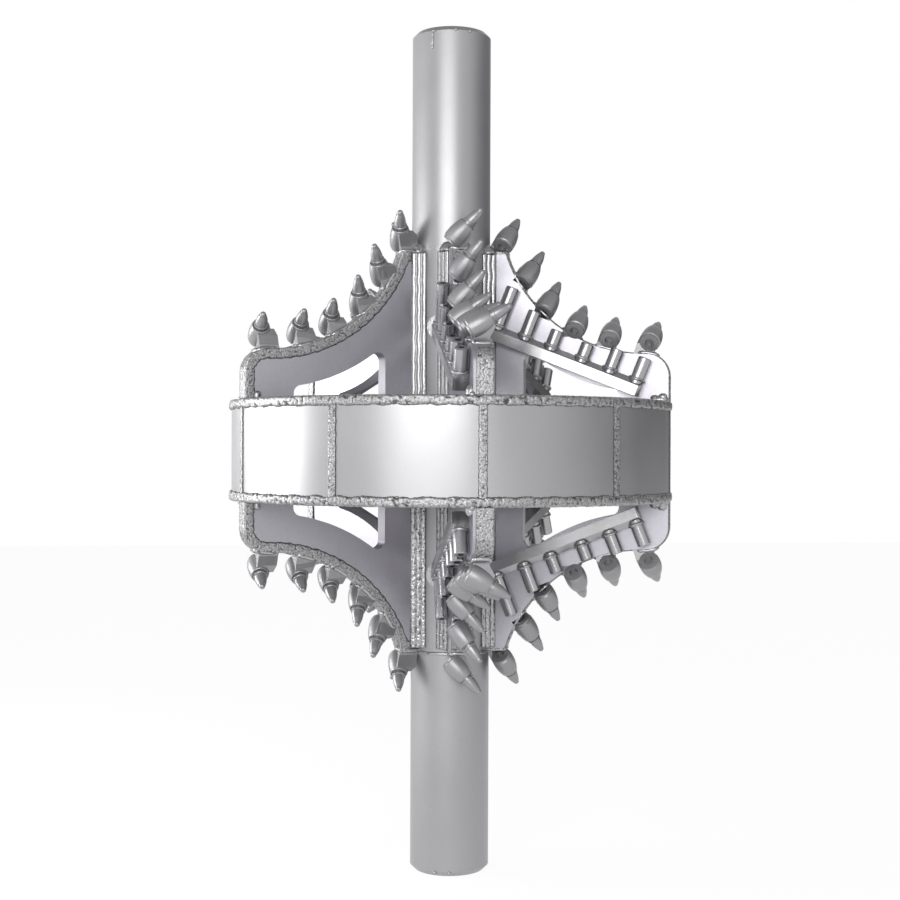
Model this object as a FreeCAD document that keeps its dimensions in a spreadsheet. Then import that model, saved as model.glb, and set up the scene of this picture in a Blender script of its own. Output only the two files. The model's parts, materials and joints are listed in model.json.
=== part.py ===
# Barrel reamer for horizontal drilling: a thick-walled mandrel with a box connection at each
# end, five windowed wings inside a segmented barrel ring, conical picks that spin in holders
# along the wing edges, and fluid manifolds that wash the picks. Units are millimetres.
# The row frame stands on the lower end face of the mandrel, +Z up along its axis. Wings, picks
# and manifolds are laid out in a wing's own frame: X outwards along the wing, Y the way the
# picks face, Z up from the middle of the barrel ring.
import FreeCAD, Part
import Sketcher
import math
import os
from FreeCAD import Placement, Rotation, Vector

# Driving dimensions: name, value and what it measures
SIZES = [
    # Mandrel and its box connections
    ("overall_length", 1918, "length between the two shoulder faces"),
    ("tube_diameter", 180, "outside of the mandrel"),
    ("tube_bore", 84, "bore of the middle tube"),
    ("flow_bore", 71.4, "bore through the end subs"),
    ("end_chamfer", 11, "chamfer on the outer end corners"),
    ("seam_height", 457, "middle of each sub weld above or below the barrel centre"),
    ("seam_width", 8, "width of the sub weld groove"),
    ("seam_crown", 1, "how far the lower sub weld stands proud"),
    ("register_diameter", 110, "pilot on each sub that centres it in the tube"),
    ("register_length", 25, "length of that pilot"),
    ("register_relief", 1, "space beyond the end of the pilot"),
    ("counterbore_diameter", 134.9, "counterbore at the mouth of the box"),
    ("counterbore_depth", 15.9, "depth of that counterbore"),
    ("box_depth", 130.2, "depth of the tapered seat from the shoulder"),
    ("box_mouth_diameter", 129, "tapered seat behind the counterbore"),
    ("box_taper", 6, "length for which the seat narrows by one on diameter"),
    # Wings
    ("wing_count", 5, "wings round the mandrel"),
    ("wing_thickness", 40, "plate of each wing"),
    ("edge_setback", 1, "wing plate's outer edge inside the outside of the ring"),
    ("wing_top", 449, "top of the wing root above the barrel centre"),
    ("shoulder_height", 219, "flat outer shoulder above the barrel centre"),
    ("sweep_radius", 331, "concave sweep of the wing edge"),
    ("sweep_end", 445, "radius where the sweep runs into the shoulder"),
    ("gauge_corner", 50, "rounding of the wing's outer corner"),
    ("web_width", 82, "metal between the wing edge and the window"),
    ("window_inner", 172, "radius of the window's inner edge"),
    ("window_outer", 389, "radius of the window's outer edge"),
    ("window_corner", 18, "rounding of the window's corners"),
    ("root_weld_leg", 21, "leg of the fillet welds along the wing root"),
    ("root_weld_end", 4, "root weld stops this far short of the wing's lower end"),
    # Barrel ring
    ("ring_radius", 500, "outside of the ring plate"),
    ("ring_thickness", 20, "ring plate"),
    ("ring_height", 212, "height of the ring plate"),
    ("segment_gap", 1, "root gap between ring segments"),
    ("bead_height", 13, "hardfacing bead down the outside of the rim"),
    ("bead_rise", 6, "bead above the ring plate's edge"),
    ("bead_proud", 7, "bead outside the ring plate"),
    ("strip_count", 10, "upright hardfacing strips on the ring"),
    ("strip_width", 17, "width of a strip"),
    ("strip_proud", 3, "strip outside the ring plate"),
    # Hardfacing on the wing edges
    ("edge_layer", 4, "hardfacing on the edge and on the leading face"),
    ("edge_band", 20, "hardfaced band on the leading face below the swept edge"),
    ("edge_inset", 8, "edge hardfacing starts this far in from the trailing face"),
    ("gauge_band", 16, "hardfaced band on the leading face at the outer edge"),
    # Fluid manifolds
    ("manifold_start", 276, "manifold axis where it leaves the tube, above the centre"),
    ("manifold_slope", 21.5, "fall of the manifold towards the barrel, degrees"),
    ("manifold_overrun", 17, "bar beyond the axis of its last nozzle tube"),
    ("manifold_inset", 68, "radius at which the bar begins, inside the tube wall"),
    ("manifold_height", 36, "bar across the wing face"),
    ("manifold_depth", 34, "how far the bar stands off the wing face"),
    ("manifold_bevel", 13, "bevel along the nozzle side"),
    ("manifold_bore", 16, "bore along the bar"),
    ("manifold_end_wall", 12, "solid metal at the closed end"),
    ("manifold_end_round", 9, "rounding of the closed end"),
    ("port_diameter", 16, "hole from the mandrel bore into the bar"),
    ("pad_radius", 27, "weld pad where the bar meets the tube"),
    ("pad_height", 6, "height of that pad"),
    # Nozzle tubes
    ("nozzle_diameter", 30, "outside of a nozzle tube"),
    ("nozzle_bore", 13, "bore of a nozzle tube"),
    ("nozzle_socket", 9, "depth of its socket in the bar"),
    ("nozzle_chamfer", 2, "chamfer at the mouth"),
    # Picks and holders
    ("pick_length", 94, "pick from shank end to point"),
    ("shank_diameter", 25, "pick shank"),
    ("shank_length", 44, "shank from its end to the flange"),
    ("shank_chamfer", 1, "chamfer on the shank's end"),
    ("groove_diameter", 21, "groove for the retaining sleeve"),
    ("groove_start", 6, "groove above the shank end"),
    ("groove_length", 24, "length of that groove"),
    ("flange_diameter", 32, "flange that seats in the holder's mouth"),
    ("flange_thickness", 4.5, "thickness of that flange"),
    ("neck_diameter", 26, "groove between flange and collar"),
    ("neck_length", 3, "width of that groove"),
    ("collar_diameter", 31, "collar at the root of the nose"),
    ("collar_thickness", 3.5, "thickness of the collar"),
    ("collar_chamfer", 1, "chamfer on the front of the collar"),
    ("nose_diameter", 27, "nose of the pick at the collar"),
    ("nose_end_diameter", 16, "nose of the pick behind its tip"),
    ("nose_bulge", 90, "radius of the nose's curved side"),
    ("tip_diameter", 14.4, "carbide tip where it leaves the nose"),
    ("tip_length", 10, "carbide tip ahead of the nose"),
    ("point_radius", 6.5, "rounding of the pick's point"),
    ("running_gap", 0.08, "clearance round the shank and in the sleeve"),
    ("seat_gap", 0.3, "clearance at seats that are not tight"),
    ("sleeve_slit", 4, "slit in the retaining sleeve"),
    ("holder_length", 55, "holder from its rear face to its mouth"),
    ("boss_diameter", 42, "boss at the rear of the holder"),
    ("boss_length", 4, "length of that boss"),
    ("holder_shoulder", 47, "holder where its belly begins"),
    ("holder_bulge", 110, "radius of the belly's curved side"),
    ("holder_mouth", 38, "diameter at the mouth"),
    ("mouth_chamfer", 1, "chamfer round the mouth"),
    ("mouth_gap", 1, "space round the flange in the mouth"),
    ("knockout_diameter", 20, "hole in the rear face"),
    ("rear_wall", 8, "metal behind the shank"),
    ("foot_rear", 12, "foot begins this far ahead of the rear face"),
    ("foot_setback", 2, "foot ends this far behind the mouth"),
    ("foot_uphill", 27, "cheek of the foot towards the mandrel, from the pick axis"),
    ("foot_downhill", 15, "cheek of the foot away from the mandrel, from the pick axis"),
    ("foot_drop", 14, "top of the foot falls this much between its cheeks"),
    ("foot_back", 14, "foot behind the middle of the wing"),
    ("foot_front", 19, "foot ahead of the middle of the wing"),
    ("foot_slope", 2, "rise of the foot's front, for each unit that it leans forward"),
    ("foot_sink", 25, "foot below the edge before it is fitted to the wing"),
]

# Nozzle tubes along a manifold: distance from the tube wall, height above the bar
NOZZLES = [
    (21, 92),
    (88, 60),
    (152, 38),
    (227, 35),
    (294, 47),
    (358, 51),
]

# Pick stations on a wing: radius of the seat on the edge, height of the pick axis above the
# edge, reach of the point past the wing's middle plane, rake outwards and lean (degrees)
STATIONS = [
    (128, 34, 77, 22, 40),
    (156, 23, 80, 29, 31),
    (207, 28, 67, 22, 37),
    (277, 38, 59, 15, 51),
    (360, 41, 66, 10, 56),
    (461, 39, 72, 18, 58),
]

doc = FreeCAD.newDocument("barrel_reamer")
sheet = doc.addObject("Spreadsheet::Sheet", "Sizes")


class Size:
    """A size that knows its number and the sheet expression that gives it."""

    def __init__(self, number, text):
        self.number = float(number)
        self.text = text

    def __add__(self, other):
        other = as_size(other)
        return Size(self.number + other.number, f"({self.text} + {other.text})")

    def __sub__(self, other):
        other = as_size(other)
        return Size(self.number - other.number, f"({self.text} - {other.text})")

    def __mul__(self, other):
        other = as_size(other)
        return Size(self.number * other.number, f"({self.text} * {other.text})")

    def __truediv__(self, other):
        other = as_size(other)
        return Size(self.number / other.number, f"({self.text} / {other.text})")

    def __neg__(self):
        return Size(-self.number, f"(0 - {self.text})")

    def __rtruediv__(self, other):
        return as_size(other) / self

    __radd__ = __add__
    __rmul__ = __mul__


def as_size(value):
    return value if isinstance(value, Size) else Size(value, repr(value))


def root(value):
    """Square root of a size."""
    return Size(math.sqrt(value.number), f"sqrt({value.text})")


def sine(angle):
    """Sine of a size in degrees."""
    return Size(math.sin(math.radians(angle.number)), f"sin({angle.text})")


def cosine(angle):
    """Cosine of a size in degrees."""
    return Size(math.cos(math.radians(angle.number)), f"cos({angle.text})")


def enter(row, name, value, meaning):
    """Write one driving dimension into the sheet and give it back as a size."""
    sheet.set(f"A{row}", name)
    sheet.set(f"B{row}", str(value))
    sheet.setAlias(f"B{row}", name)
    sheet.set(f"C{row}", meaning)
    return Size(value, f"Sizes.{name}")


dim = {}
for name, value, meaning in SIZES:
    dim[name] = enter(len(dim) + 1, name, value, meaning)
nozzle_sizes = []
for index, (place, height) in enumerate(NOZZLES, start=1):
    nozzle_sizes.append((
        enter(len(dim) + 2 * index, f"nozzle_{index}_place", place, "from the tube wall"),
        enter(len(dim) + 2 * index + 1, f"nozzle_{index}_height", height, "above the bar"),
    ))
station_row = len(dim) + 2 * len(NOZZLES) + 2
station_sizes = []
for index, values in enumerate(STATIONS):
    names = ("radius", "lift", "reach", "rake", "lean")
    station = {}
    for column, (name, value) in enumerate(zip(names, values)):
        alias = f"seat_{index + 1}_{name}"
        station[name] = enter(station_row + 5 * index + column, alias, value, "pick station")
    station_sizes.append(station)
doc.recompute()

# Sizes that follow from the driving ones
half_length = dim["overall_length"] / 2
tube_radius = dim["tube_diameter"] / 2
tube_seat = tube_radius + dim["seat_gap"]
flow_radius = dim["flow_bore"] / 2
half_wing = dim["wing_thickness"] / 2
half_ring = dim["ring_height"] / 2
ring_inside = dim["ring_radius"] - dim["ring_thickness"]
wing_reach = dim["ring_radius"] - dim["edge_setback"]
seated_length = dim["rear_wall"] + dim["seat_gap"] + dim["pick_length"]
sweep_centre = dim["shoulder_height"] + dim["sweep_radius"]
window_sweep = dim["sweep_radius"] + dim["web_width"]
wing_step = 360 / dim["wing_count"].number
wing_numbers = range(1, int(dim["wing_count"].number) + 1)
turn_to_front = -90.0


# Building helpers
def bind(feature, prop, size):
    feature.setExpression(prop, as_size(size).text)


def origin_item(body, role):
    """One of the body's own origin planes or axes."""
    return next(item for item in body.Origin.OriginFeatures if item.Role == role)


def new_body(label):
    body = doc.addObject("PartDesign::Body", label)
    body.Label = label
    body.AllowCompound = True
    return body


def new_sketch(body, role, offset=None):
    """A sketch on an origin plane, raised off it by offset."""
    sketch = body.newObject("Sketcher::SketchObject", f"{body.Name}_sketch")
    sketch.AttachmentSupport = [(origin_item(body, role), "")]
    sketch.MapMode = "FlatFace"
    if offset is not None:
        bind(sketch, "AttachmentOffset.Base.z", offset)
    return sketch


def arc_between(start, end, radius, side):
    """Circular arc from start to end; side is +1 where its centre lies left of the chord."""
    chord = end - start
    middle = (start + end) * 0.5
    rise = math.sqrt(max(radius ** 2 - (chord.Length / 2) ** 2, 0.0))
    normal = Vector(-chord.y, chord.x, 0).normalize()
    centre = middle + normal * (side * rise)
    circle = Part.Circle(centre, Vector(0, 0, 1), radius)
    first, last = (start, end) if side > 0 else (end, start)
    first_angle = math.atan2(first.y - centre.y, first.x - centre.x)
    last_angle = math.atan2(last.y - centre.y, last.x - centre.x)
    return Part.ArcOfCircle(circle, first_angle, last_angle)


def draw_outline(sketch, corners):
    """Closed outline through corners (x, y) or (x, y, radius, side); an arc starts at its corner."""
    corners = [tuple(as_size(value) for value in corner[:3]) + corner[3:] for corner in corners]
    points = [Vector(corner[0].number, corner[1].number, 0) for corner in corners]
    base = sketch.GeometryCount
    ends = []
    for index, corner in enumerate(corners):
        start = points[index]
        end = points[(index + 1) % len(points)]
        if len(corner) == 2:
            sketch.addGeometry(Part.LineSegment(start, end))
            ends.append((1, 2))
        else:
            sketch.addGeometry(arc_between(start, end, corner[2].number, corner[3]))
            ends.append((1, 2) if corner[3] > 0 else (2, 1))
    count = len(corners)
    for index in range(count):
        following = (index + 1) % count
        sketch.addConstraint(Sketcher.Constraint(
            "Coincident", base + index, ends[index][1], base + following, ends[following][0]))
    for index, corner in enumerate(corners):
        for kind, size in (("DistanceX", corner[0]), ("DistanceY", corner[1])):
            place = sketch.addConstraint(Sketcher.Constraint(
                kind, -1, 1, base + index, ends[index][0], size.number))
            sketch.setExpression(f"Constraints[{place}]", size.text)
        if len(corner) > 2:
            place = sketch.addConstraint(Sketcher.Constraint(
                "Radius", base + index, corner[2].number))
            sketch.setExpression(f"Constraints[{place}]", corner[2].text)


def draw_circles(sketch, places, radius):
    """Equal circles at places (x, y)."""
    for x, y in places:
        x, y = as_size(x), as_size(y)
        index = sketch.addGeometry(Part.Circle(
            Vector(x.number, y.number, 0), Vector(0, 0, 1), radius.number))
        for kind, size in (("DistanceX", x), ("DistanceY", y)):
            place = sketch.addConstraint(Sketcher.Constraint(kind, -1, 1, index, 3, size.number))
            sketch.setExpression(f"Constraints[{place}]", size.text)
        place = sketch.addConstraint(Sketcher.Constraint("Radius", index, radius.number))
        sketch.setExpression(f"Constraints[{place}]", radius.text)


def revolve(body, corners, angle=None):
    """Turn an outline in the XZ plane round Z, all the way or evenly about X through angle."""
    sketch = new_sketch(body, "XZ_Plane")
    draw_outline(sketch, corners)
    turned = body.newObject("PartDesign::Revolution", f"{body.Name}_turned")
    turned.Profile = sketch
    turned.ReferenceAxis = (sketch, ["V_Axis"])
    if angle is None:
        turned.Angle = 360
    else:
        turned.Midplane = True
        bind(turned, "Angle", angle)
    return turned


def pad(body, sketch, length, both_ways=False, backwards=False):
    plate = body.newObject("PartDesign::Pad", f"{body.Name}_pad")
    plate.Profile = sketch
    plate.Midplane = both_ways
    plate.Reversed = backwards
    bind(plate, "Length", length)
    return plate


def cut(body, sketch, length, upwards=False, both_ways=False):
    """Pocket from the sketch, up the plane's normal or down it, and check that it cuts."""
    doc.recompute()
    before = body.Shape.Volume
    hole = body.newObject("PartDesign::Pocket", f"{body.Name}_cut")
    hole.Profile = sketch
    hole.Midplane = both_ways
    hole.Reversed = upwards
    bind(hole, "Length", length)
    doc.recompute()
    if body.Shape.Volume > before - 1.0:
        raise RuntimeError(f"{hole.Name} cuts nothing")
    return hole


def edges_near(shape, places):
    """Names of the straight edges whose middle lies at one of the places (x, z)."""
    found = []
    for number, edge in enumerate(shape.Edges, start=1):
        if not isinstance(edge.Curve, Part.Line):
            continue
        middle = edge.CenterOfMass
        along_y = abs(edge.tangentAt(edge.FirstParameter).y) > 0.999
        if along_y and any(math.hypot(middle.x - x, middle.z - z) < 0.5 for x, z in places):
            found.append(f"Edge{number}")
    return found


def round_edges(body, places, radius):
    """Fillet the edges across the plate at places (x, z)."""
    doc.recompute()
    base = body.Tip
    names = edges_near(base.Shape, places)
    if len(names) < len(places):
        raise RuntimeError(f"{body.Name} has no edge to round")
    fillet = body.newObject("PartDesign::Fillet", f"{body.Name}_round")
    fillet.Base = (base, names)
    bind(fillet, "Radius", radius)
    doc.recompute()
    return fillet


def mirror_up_down(body, feature):
    mirrored = body.newObject("PartDesign::Mirrored", f"{body.Name}_mirror")
    mirrored.Originals = [feature]
    mirrored.MirrorPlane = (origin_item(body, "XY_Plane"), [""])
    body.Tip = mirrored
    return mirrored


def repeat_round(body, feature, count):
    pattern = body.newObject("PartDesign::PolarPattern", f"{body.Name}_pattern")
    pattern.Originals = [feature]
    pattern.Axis = (origin_item(body, "Z_Axis"), [""])
    pattern.Angle = 360
    bind(pattern, "Occurrences", count)
    body.Tip = pattern
    return pattern


def about_axis(degrees):
    return Placement(Vector(0, 0, 0), Rotation(Vector(0, 0, 1), degrees))


def wing_frame(number):
    """Placement of a wing's own frame; wing 1 points to the front, -Y."""
    turned = about_axis(turn_to_front + wing_step * (number - 1))
    return Placement(Vector(0, 0, half_length.number), turned.Rotation)


def boolean(kind, label, base, tools):
    result = doc.addObject(kind, label)
    result.Label = label
    if kind == "Part::MultiFuse":
        result.Shapes = [base] + tools
    else:
        result.Base = base
        result.Tool = tools[0] if len(tools) == 1 else gather(f"{label}_tools", tools)
    return result


def gather(label, items):
    group = doc.addObject("Part::Compound", label)
    group.Label = label
    group.Links = items
    return group


def linked(source, label, placement):
    copy = doc.addObject("App::Link", label)
    copy.LinkedObject = source
    copy.Placement = placement
    return copy


def round_the_wings(label, source):
    """The same pieces on every wing, copied from those of wing 1."""
    copies = [source]
    for number in wing_numbers[1:]:
        copies.append(linked(source, f"{label}_{number}", about_axis(wing_step * (number - 1))))
    return gather(label, copies)


def mirrored_below(label, source):
    """The same pieces on the lower half of the reamer."""
    below = doc.addObject("Part::Mirroring", label)
    below.Label = label
    below.Source = source
    below.Normal = Vector(0, 0, 1)
    bind(below, "Base.z", half_length)
    return below


# Mandrel: the tube, two subs with box connections and the welds between them
def add_sub(label):
    """End sub, built with its pilot at Z = 0 and the shoulder face up."""
    sub_start = dim["seam_height"] + dim["seam_width"] / 2
    length = half_length - sub_start
    pilot = dim["register_diameter"] / 2
    mouth = dim["counterbore_diameter"] / 2
    seat_mouth = dim["box_mouth_diameter"] / 2
    seat_floor = seat_mouth - (dim["box_depth"] - dim["counterbore_depth"]) / dim["box_taper"] / 2
    throat = length - dim["box_depth"]
    body = new_body(label)
    revolve(body, [
        (flow_radius, -dim["register_length"]),
        (pilot, -dim["register_length"]),
        (pilot, 0),
        (tube_radius, 0),
        (tube_radius, length - dim["end_chamfer"]),
        (tube_radius - dim["end_chamfer"], length),
        (mouth, length),
        (mouth, length - dim["counterbore_depth"]),
        (seat_mouth, length - dim["counterbore_depth"]),
        (seat_floor, throat),
        (flow_radius, throat - (seat_floor - flow_radius) / 2),
    ])
    return body, sub_start


def add_mandrel():
    tube_end = dim["seam_height"] - dim["seam_width"] / 2
    pilot_seat = dim["register_diameter"] / 2 + dim["running_gap"]
    pilot_depth = dim["register_length"] - dim["seam_width"] + dim["register_relief"]
    bore = dim["tube_bore"] / 2
    body = new_body("mandrel_blank")
    bind(body, "Placement.Base.z", half_length)
    revolve(body, [
        (bore, -(tube_end - pilot_depth)),
        (pilot_seat, -(tube_end - pilot_depth)),
        (pilot_seat, -tube_end),
        (tube_radius, -tube_end),
        (tube_radius, tube_end),
        (pilot_seat, tube_end),
        (pilot_seat, tube_end - pilot_depth),
        (bore, tube_end - pilot_depth),
    ])
    return body


def add_subs():
    upper, sub_start = add_sub("upper_sub")
    bind(upper, "Placement.Base.z", half_length + sub_start)
    lower, sub_start = add_sub("lower_sub")
    lower.Placement = Placement(Vector(0, 0, 0), Rotation(Vector(1, 0, 0), 180))
    bind(lower, "Placement.Base.z", half_length - sub_start)
    return [upper, lower]


def add_seam_weld():
    """Groove welds at both subs; the upper one is ground flush."""
    inside = dim["register_diameter"] / 2 + dim["running_gap"]
    low = dim["seam_height"] - dim["seam_width"] / 2
    high = dim["seam_height"] + dim["seam_width"] / 2
    body = new_body("sub_seam_welds")
    bind(body, "Placement.Base.z", half_length)
    revolve(body, [(inside, low), (tube_radius, low), (tube_radius, high), (inside, high)])
    crown = tube_radius + dim["seam_crown"]
    edge = dim["seam_crown"]
    lower = revolve(body, [
        (inside, -low),
        (tube_radius, -low),
        (crown, -(low + edge)),
        (crown, -(high - edge)),
        (tube_radius, -high),
        (inside, -high),
    ])
    body.Tip = lower
    return body


# Wings
def edge_place(radius):
    """Height of the wing edge at a radius, and its outward direction there, both (x, z)."""
    centre = Vector(dim["sweep_end"].number, 0, sweep_centre.number)
    sweep = dim["sweep_radius"].number
    top = dim["wing_top"].number
    sweep_start = centre.x - math.sqrt(sweep ** 2 - (centre.z - top) ** 2)
    if radius < sweep_start:
        return Vector(radius, 0, top), Vector(0, 0, 1)
    if radius > centre.x:
        return Vector(radius, 0, dim["shoulder_height"].number), Vector(0, 0, 1)
    seat = Vector(radius, 0, centre.z - math.sqrt(sweep ** 2 - (centre.x - radius) ** 2))
    return seat, (centre - seat).normalize()


def sweep_corner(radius, height):
    """Where a sweep of this radius crosses a height: its X."""
    drop = sweep_centre - height
    return dim["sweep_end"] - root(radius * radius - drop * drop)


def add_wing_plate(number):
    """A plate with swept edges and a window, let into the barrel ring and coped to the tube."""
    top = dim["wing_top"]
    shoulder = dim["shoulder_height"]
    sweep = dim["sweep_radius"]
    sweep_start = sweep_corner(sweep, top)
    notch = half_ring + dim["bead_rise"] + dim["seat_gap"]
    notch_floor = root(ring_inside * ring_inside - half_wing * half_wing) - dim["seat_gap"]
    inner = tube_radius - dim["wing_thickness"] / 2
    body = new_body(f"wing_plate_{number}")
    body.Placement = wing_frame(number)
    outline = new_sketch(body, "XZ_Plane")
    draw_outline(outline, [
        (inner, -top),
        (sweep_start, -top, sweep, -1),
        (dim["sweep_end"], -shoulder),
        (wing_reach, -shoulder),
        (wing_reach, -notch),
        (notch_floor, -notch),
        (notch_floor, notch),
        (wing_reach, notch),
        (wing_reach, shoulder),
        (dim["sweep_end"], shoulder, sweep, -1),
        (sweep_start, top),
        (inner, top),
    ])
    pad(body, outline, dim["wing_thickness"], both_ways=True)
    corner = (wing_reach.number, shoulder.number)
    round_edges(body, [corner, (corner[0], -corner[1])], dim["gauge_corner"])
    cope = new_sketch(body, "XY_Plane")
    draw_circles(cope, [(0, 0)], tube_seat)
    cut(body, cope, top * 2, both_ways=True)
    add_window(body)
    return body


def add_window(body):
    """One opening from above the ring to below it, its ends concentric with the wing edge."""
    inner, outer = dim["window_inner"], dim["window_outer"]
    ends = []
    for edge in (inner, outer):
        run = dim["sweep_end"] - edge
        ends.append(sweep_centre - root(window_sweep * window_sweep - run * run))
    opening = new_sketch(body, "XZ_Plane")
    draw_outline(opening, [
        (inner, -ends[0], window_sweep, -1),
        (outer, -ends[1]),
        (outer, ends[1], window_sweep, -1),
        (inner, ends[0]),
    ])
    cut(body, opening, dim["wing_thickness"] * 2, both_ways=True)
    corners = []
    for edge, height in zip((inner, outer), ends):
        corners += [(edge.number, height.number), (edge.number, -height.number)]
    round_edges(body, corners, dim["window_corner"])


def add_root_welds():
    """Fillet welds along both faces of wing 1 where it meets the tube."""
    face = half_wing + dim["seat_gap"]
    leg = dim["root_weld_leg"]
    weld_foot = dim["wing_top"] - dim["root_weld_end"]
    body = new_body("root_weld_blank")
    body.Placement = wing_frame(1)
    for side in (1, -1):
        outline = new_sketch(body, "XY_Plane", -weld_foot)
        on_face = root(tube_seat * tube_seat - face * face)
        toe = face + leg
        on_tube = root(tube_seat * tube_seat - toe * toe)
        if side > 0:
            corners = [(on_tube, toe, tube_seat, -1), (on_face, face), (on_face + leg, face)]
        else:
            corners = [(on_face, -face, tube_seat, -1), (on_tube, -toe), (on_face + leg, -face)]
        draw_outline(outline, corners)
        pad(body, outline, weld_foot + dim["wing_top"])
    return body


def add_weld_return():
    """Fillet weld carried over the top of wing 1, round the tube."""
    low = dim["wing_top"] + dim["seat_gap"]
    leg = dim["root_weld_leg"]
    width = dim["wing_thickness"] + leg * 1.5
    body = new_body("weld_return_blank")
    body.Placement = wing_frame(1)
    revolve(body, [
        (tube_seat, low),
        (tube_seat + leg, low),
        (tube_seat, low + leg),
    ], width / tube_radius * (180 / math.pi))
    return body


# Barrel ring and its hardfacing
def add_ring_segment(number):
    segment_angle = 360 / dim["wing_count"]
    gap_angle = dim["segment_gap"] / ring_inside * (180 / math.pi)
    body = new_body(f"ring_segment_{number}")
    turned = about_axis(turn_to_front + wing_step * (number - 0.5))
    body.Placement = Placement(Vector(0, 0, half_length.number), turned.Rotation)
    revolve(body, [
        (ring_inside, -half_ring),
        (dim["ring_radius"], -half_ring),
        (dim["ring_radius"], half_ring),
        (ring_inside, half_ring),
    ], segment_angle - gap_angle)
    return body


def add_rim_hardfacing():
    """A bead over the outer corner of each rim."""
    skin = dim["ring_radius"] + dim["seat_gap"]
    proud = dim["ring_radius"] + dim["bead_proud"]
    foot = half_ring - dim["bead_height"]
    crown = half_ring + dim["bead_rise"]
    ease = dim["bead_proud"] / 3
    body = new_body("rim_hardfacing")
    bind(body, "Placement.Base.z", half_length)
    bead = revolve(body, [
        (ring_inside + ease, half_ring),
        (skin, half_ring),
        (skin, foot),
        (proud - ease, foot + ease),
        (proud, half_ring),
        (proud - ease, crown - ease),
        (dim["ring_radius"], crown),
        (ring_inside + ease * 2, crown),
    ])
    mirror_up_down(body, bead)
    return body


def add_wear_strips():
    """Upright strips on the ring, at the wings and midway between them."""
    skin = dim["ring_radius"] + dim["seat_gap"]
    reach = dim["ring_radius"] + dim["strip_proud"]
    foot = half_ring - dim["bead_height"] - dim["seat_gap"]
    body = new_body("ring_wear_strips")
    body.Placement = wing_frame(1)
    strip = revolve(body, [
        (skin, -foot),
        (reach, -foot),
        (reach, foot),
        (skin, foot),
    ], dim["strip_width"] / dim["ring_radius"] * (180 / math.pi))
    repeat_round(body, strip, dim["strip_count"])
    return body


def add_edge_band():
    """Hardfacing over the edge of wing 1 and down its leading face, before it is fitted."""
    layer = dim["edge_layer"]
    outer_sweep = dim["sweep_radius"] - layer
    inner_sweep = dim["sweep_radius"] + dim["edge_band"]
    top = dim["wing_top"]
    shoulder = dim["shoulder_height"] + layer
    band_floor = dim["shoulder_height"] - dim["edge_band"]
    outside = wing_reach + layer
    inside = wing_reach - dim["gauge_band"]
    start = tube_seat + dim["root_weld_leg"]
    notch = half_ring + dim["bead_rise"] + dim["seat_gap"]
    run = dim["sweep_end"] - start
    inner_top = sweep_centre - root(inner_sweep * inner_sweep - run * run)
    body = new_body("edge_band")
    body.Placement = wing_frame(1)
    outline = new_sketch(body, "XZ_Plane", half_wing - dim["edge_inset"])
    draw_outline(outline, [
        (start, inner_top, inner_sweep, 1),
        (dim["sweep_end"], band_floor),
        (inside, band_floor),
        (inside, notch),
        (outside, notch),
        (outside, shoulder),
        (dim["sweep_end"], shoulder, outer_sweep, -1),
        (sweep_corner(outer_sweep, top), top),
        (start, top),
    ])
    pad(body, outline, dim["wing_thickness"] + layer - dim["edge_inset"], backwards=True)
    round_edges(body, [(outside.number, shoulder.number)], dim["gauge_corner"] + layer)
    round_edges(body, [(inside.number, band_floor.number)], dim["gauge_corner"] / 2)
    return body


# Fluid manifolds
def manifold_frame():
    """Frame of the upper bar of wing 1: X along the bar, Y into the wing, Z to the nozzles."""
    slope = math.radians(dim["manifold_slope"].number)
    along = Vector(math.cos(slope), 0, -math.sin(slope))
    start = Vector(tube_radius.number, -half_wing.number, dim["manifold_start"].number)
    return wing_frame(1) * Placement(start, Rotation(along, Vector(0, 1, 0), Vector(), "XYZ"))


def bar_start():
    return dim["manifold_inset"] - tube_radius


def bar_end():
    return nozzle_sizes[-1][0] + dim["manifold_overrun"]


def add_manifold():
    """Bevelled bar with a bore along it and sockets for the nozzle tubes."""
    half_height = dim["manifold_height"] / 2
    depth = dim["manifold_depth"]
    bevel = dim["manifold_bevel"]
    face = -dim["seat_gap"]
    middle = -depth / 2
    body = new_body("manifold_bar")
    body.Placement = manifold_frame()
    section = new_sketch(body, "YZ_Plane", bar_start())
    draw_outline(section, [
        (face, -half_height),
        (face, half_height),
        (bevel - depth, half_height),
        (-depth, half_height - bevel),
        (-depth, -half_height),
    ])
    pad(body, section, bar_end() - bar_start())
    doc.recompute()
    bar = body.Tip
    outer_end = Vector(bar_end().number, -depth.number, -bevel.number / 2)
    names = [f"Edge{number}" for number, edge in enumerate(bar.Shape.Edges, start=1)
             if edge.CenterOfMass.distanceToPoint(outer_end) < 0.01]
    rounding = body.newObject("PartDesign::Fillet", "manifold_end")
    rounding.Base = (bar, names)
    bind(rounding, "Radius", dim["manifold_end_round"])
    passage = new_sketch(body, "YZ_Plane", bar_start())
    draw_circles(passage, [(middle, 0)], dim["manifold_bore"] / 2)
    cut(body, passage, bar_end() - bar_start() - dim["manifold_end_wall"], upwards=True)
    places = [(place, middle) for place, height in nozzle_sizes]
    socket = new_sketch(body, "XY_Plane", half_height - dim["nozzle_socket"])
    draw_circles(socket, places, dim["nozzle_diameter"] / 2 + dim["running_gap"])
    cut(body, socket, dim["nozzle_socket"] * 2, upwards=True)
    feed = new_sketch(body, "XY_Plane")
    draw_circles(feed, places, dim["nozzle_bore"] / 2)
    cut(body, feed, dim["manifold_height"], upwards=True)
    return body


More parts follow.
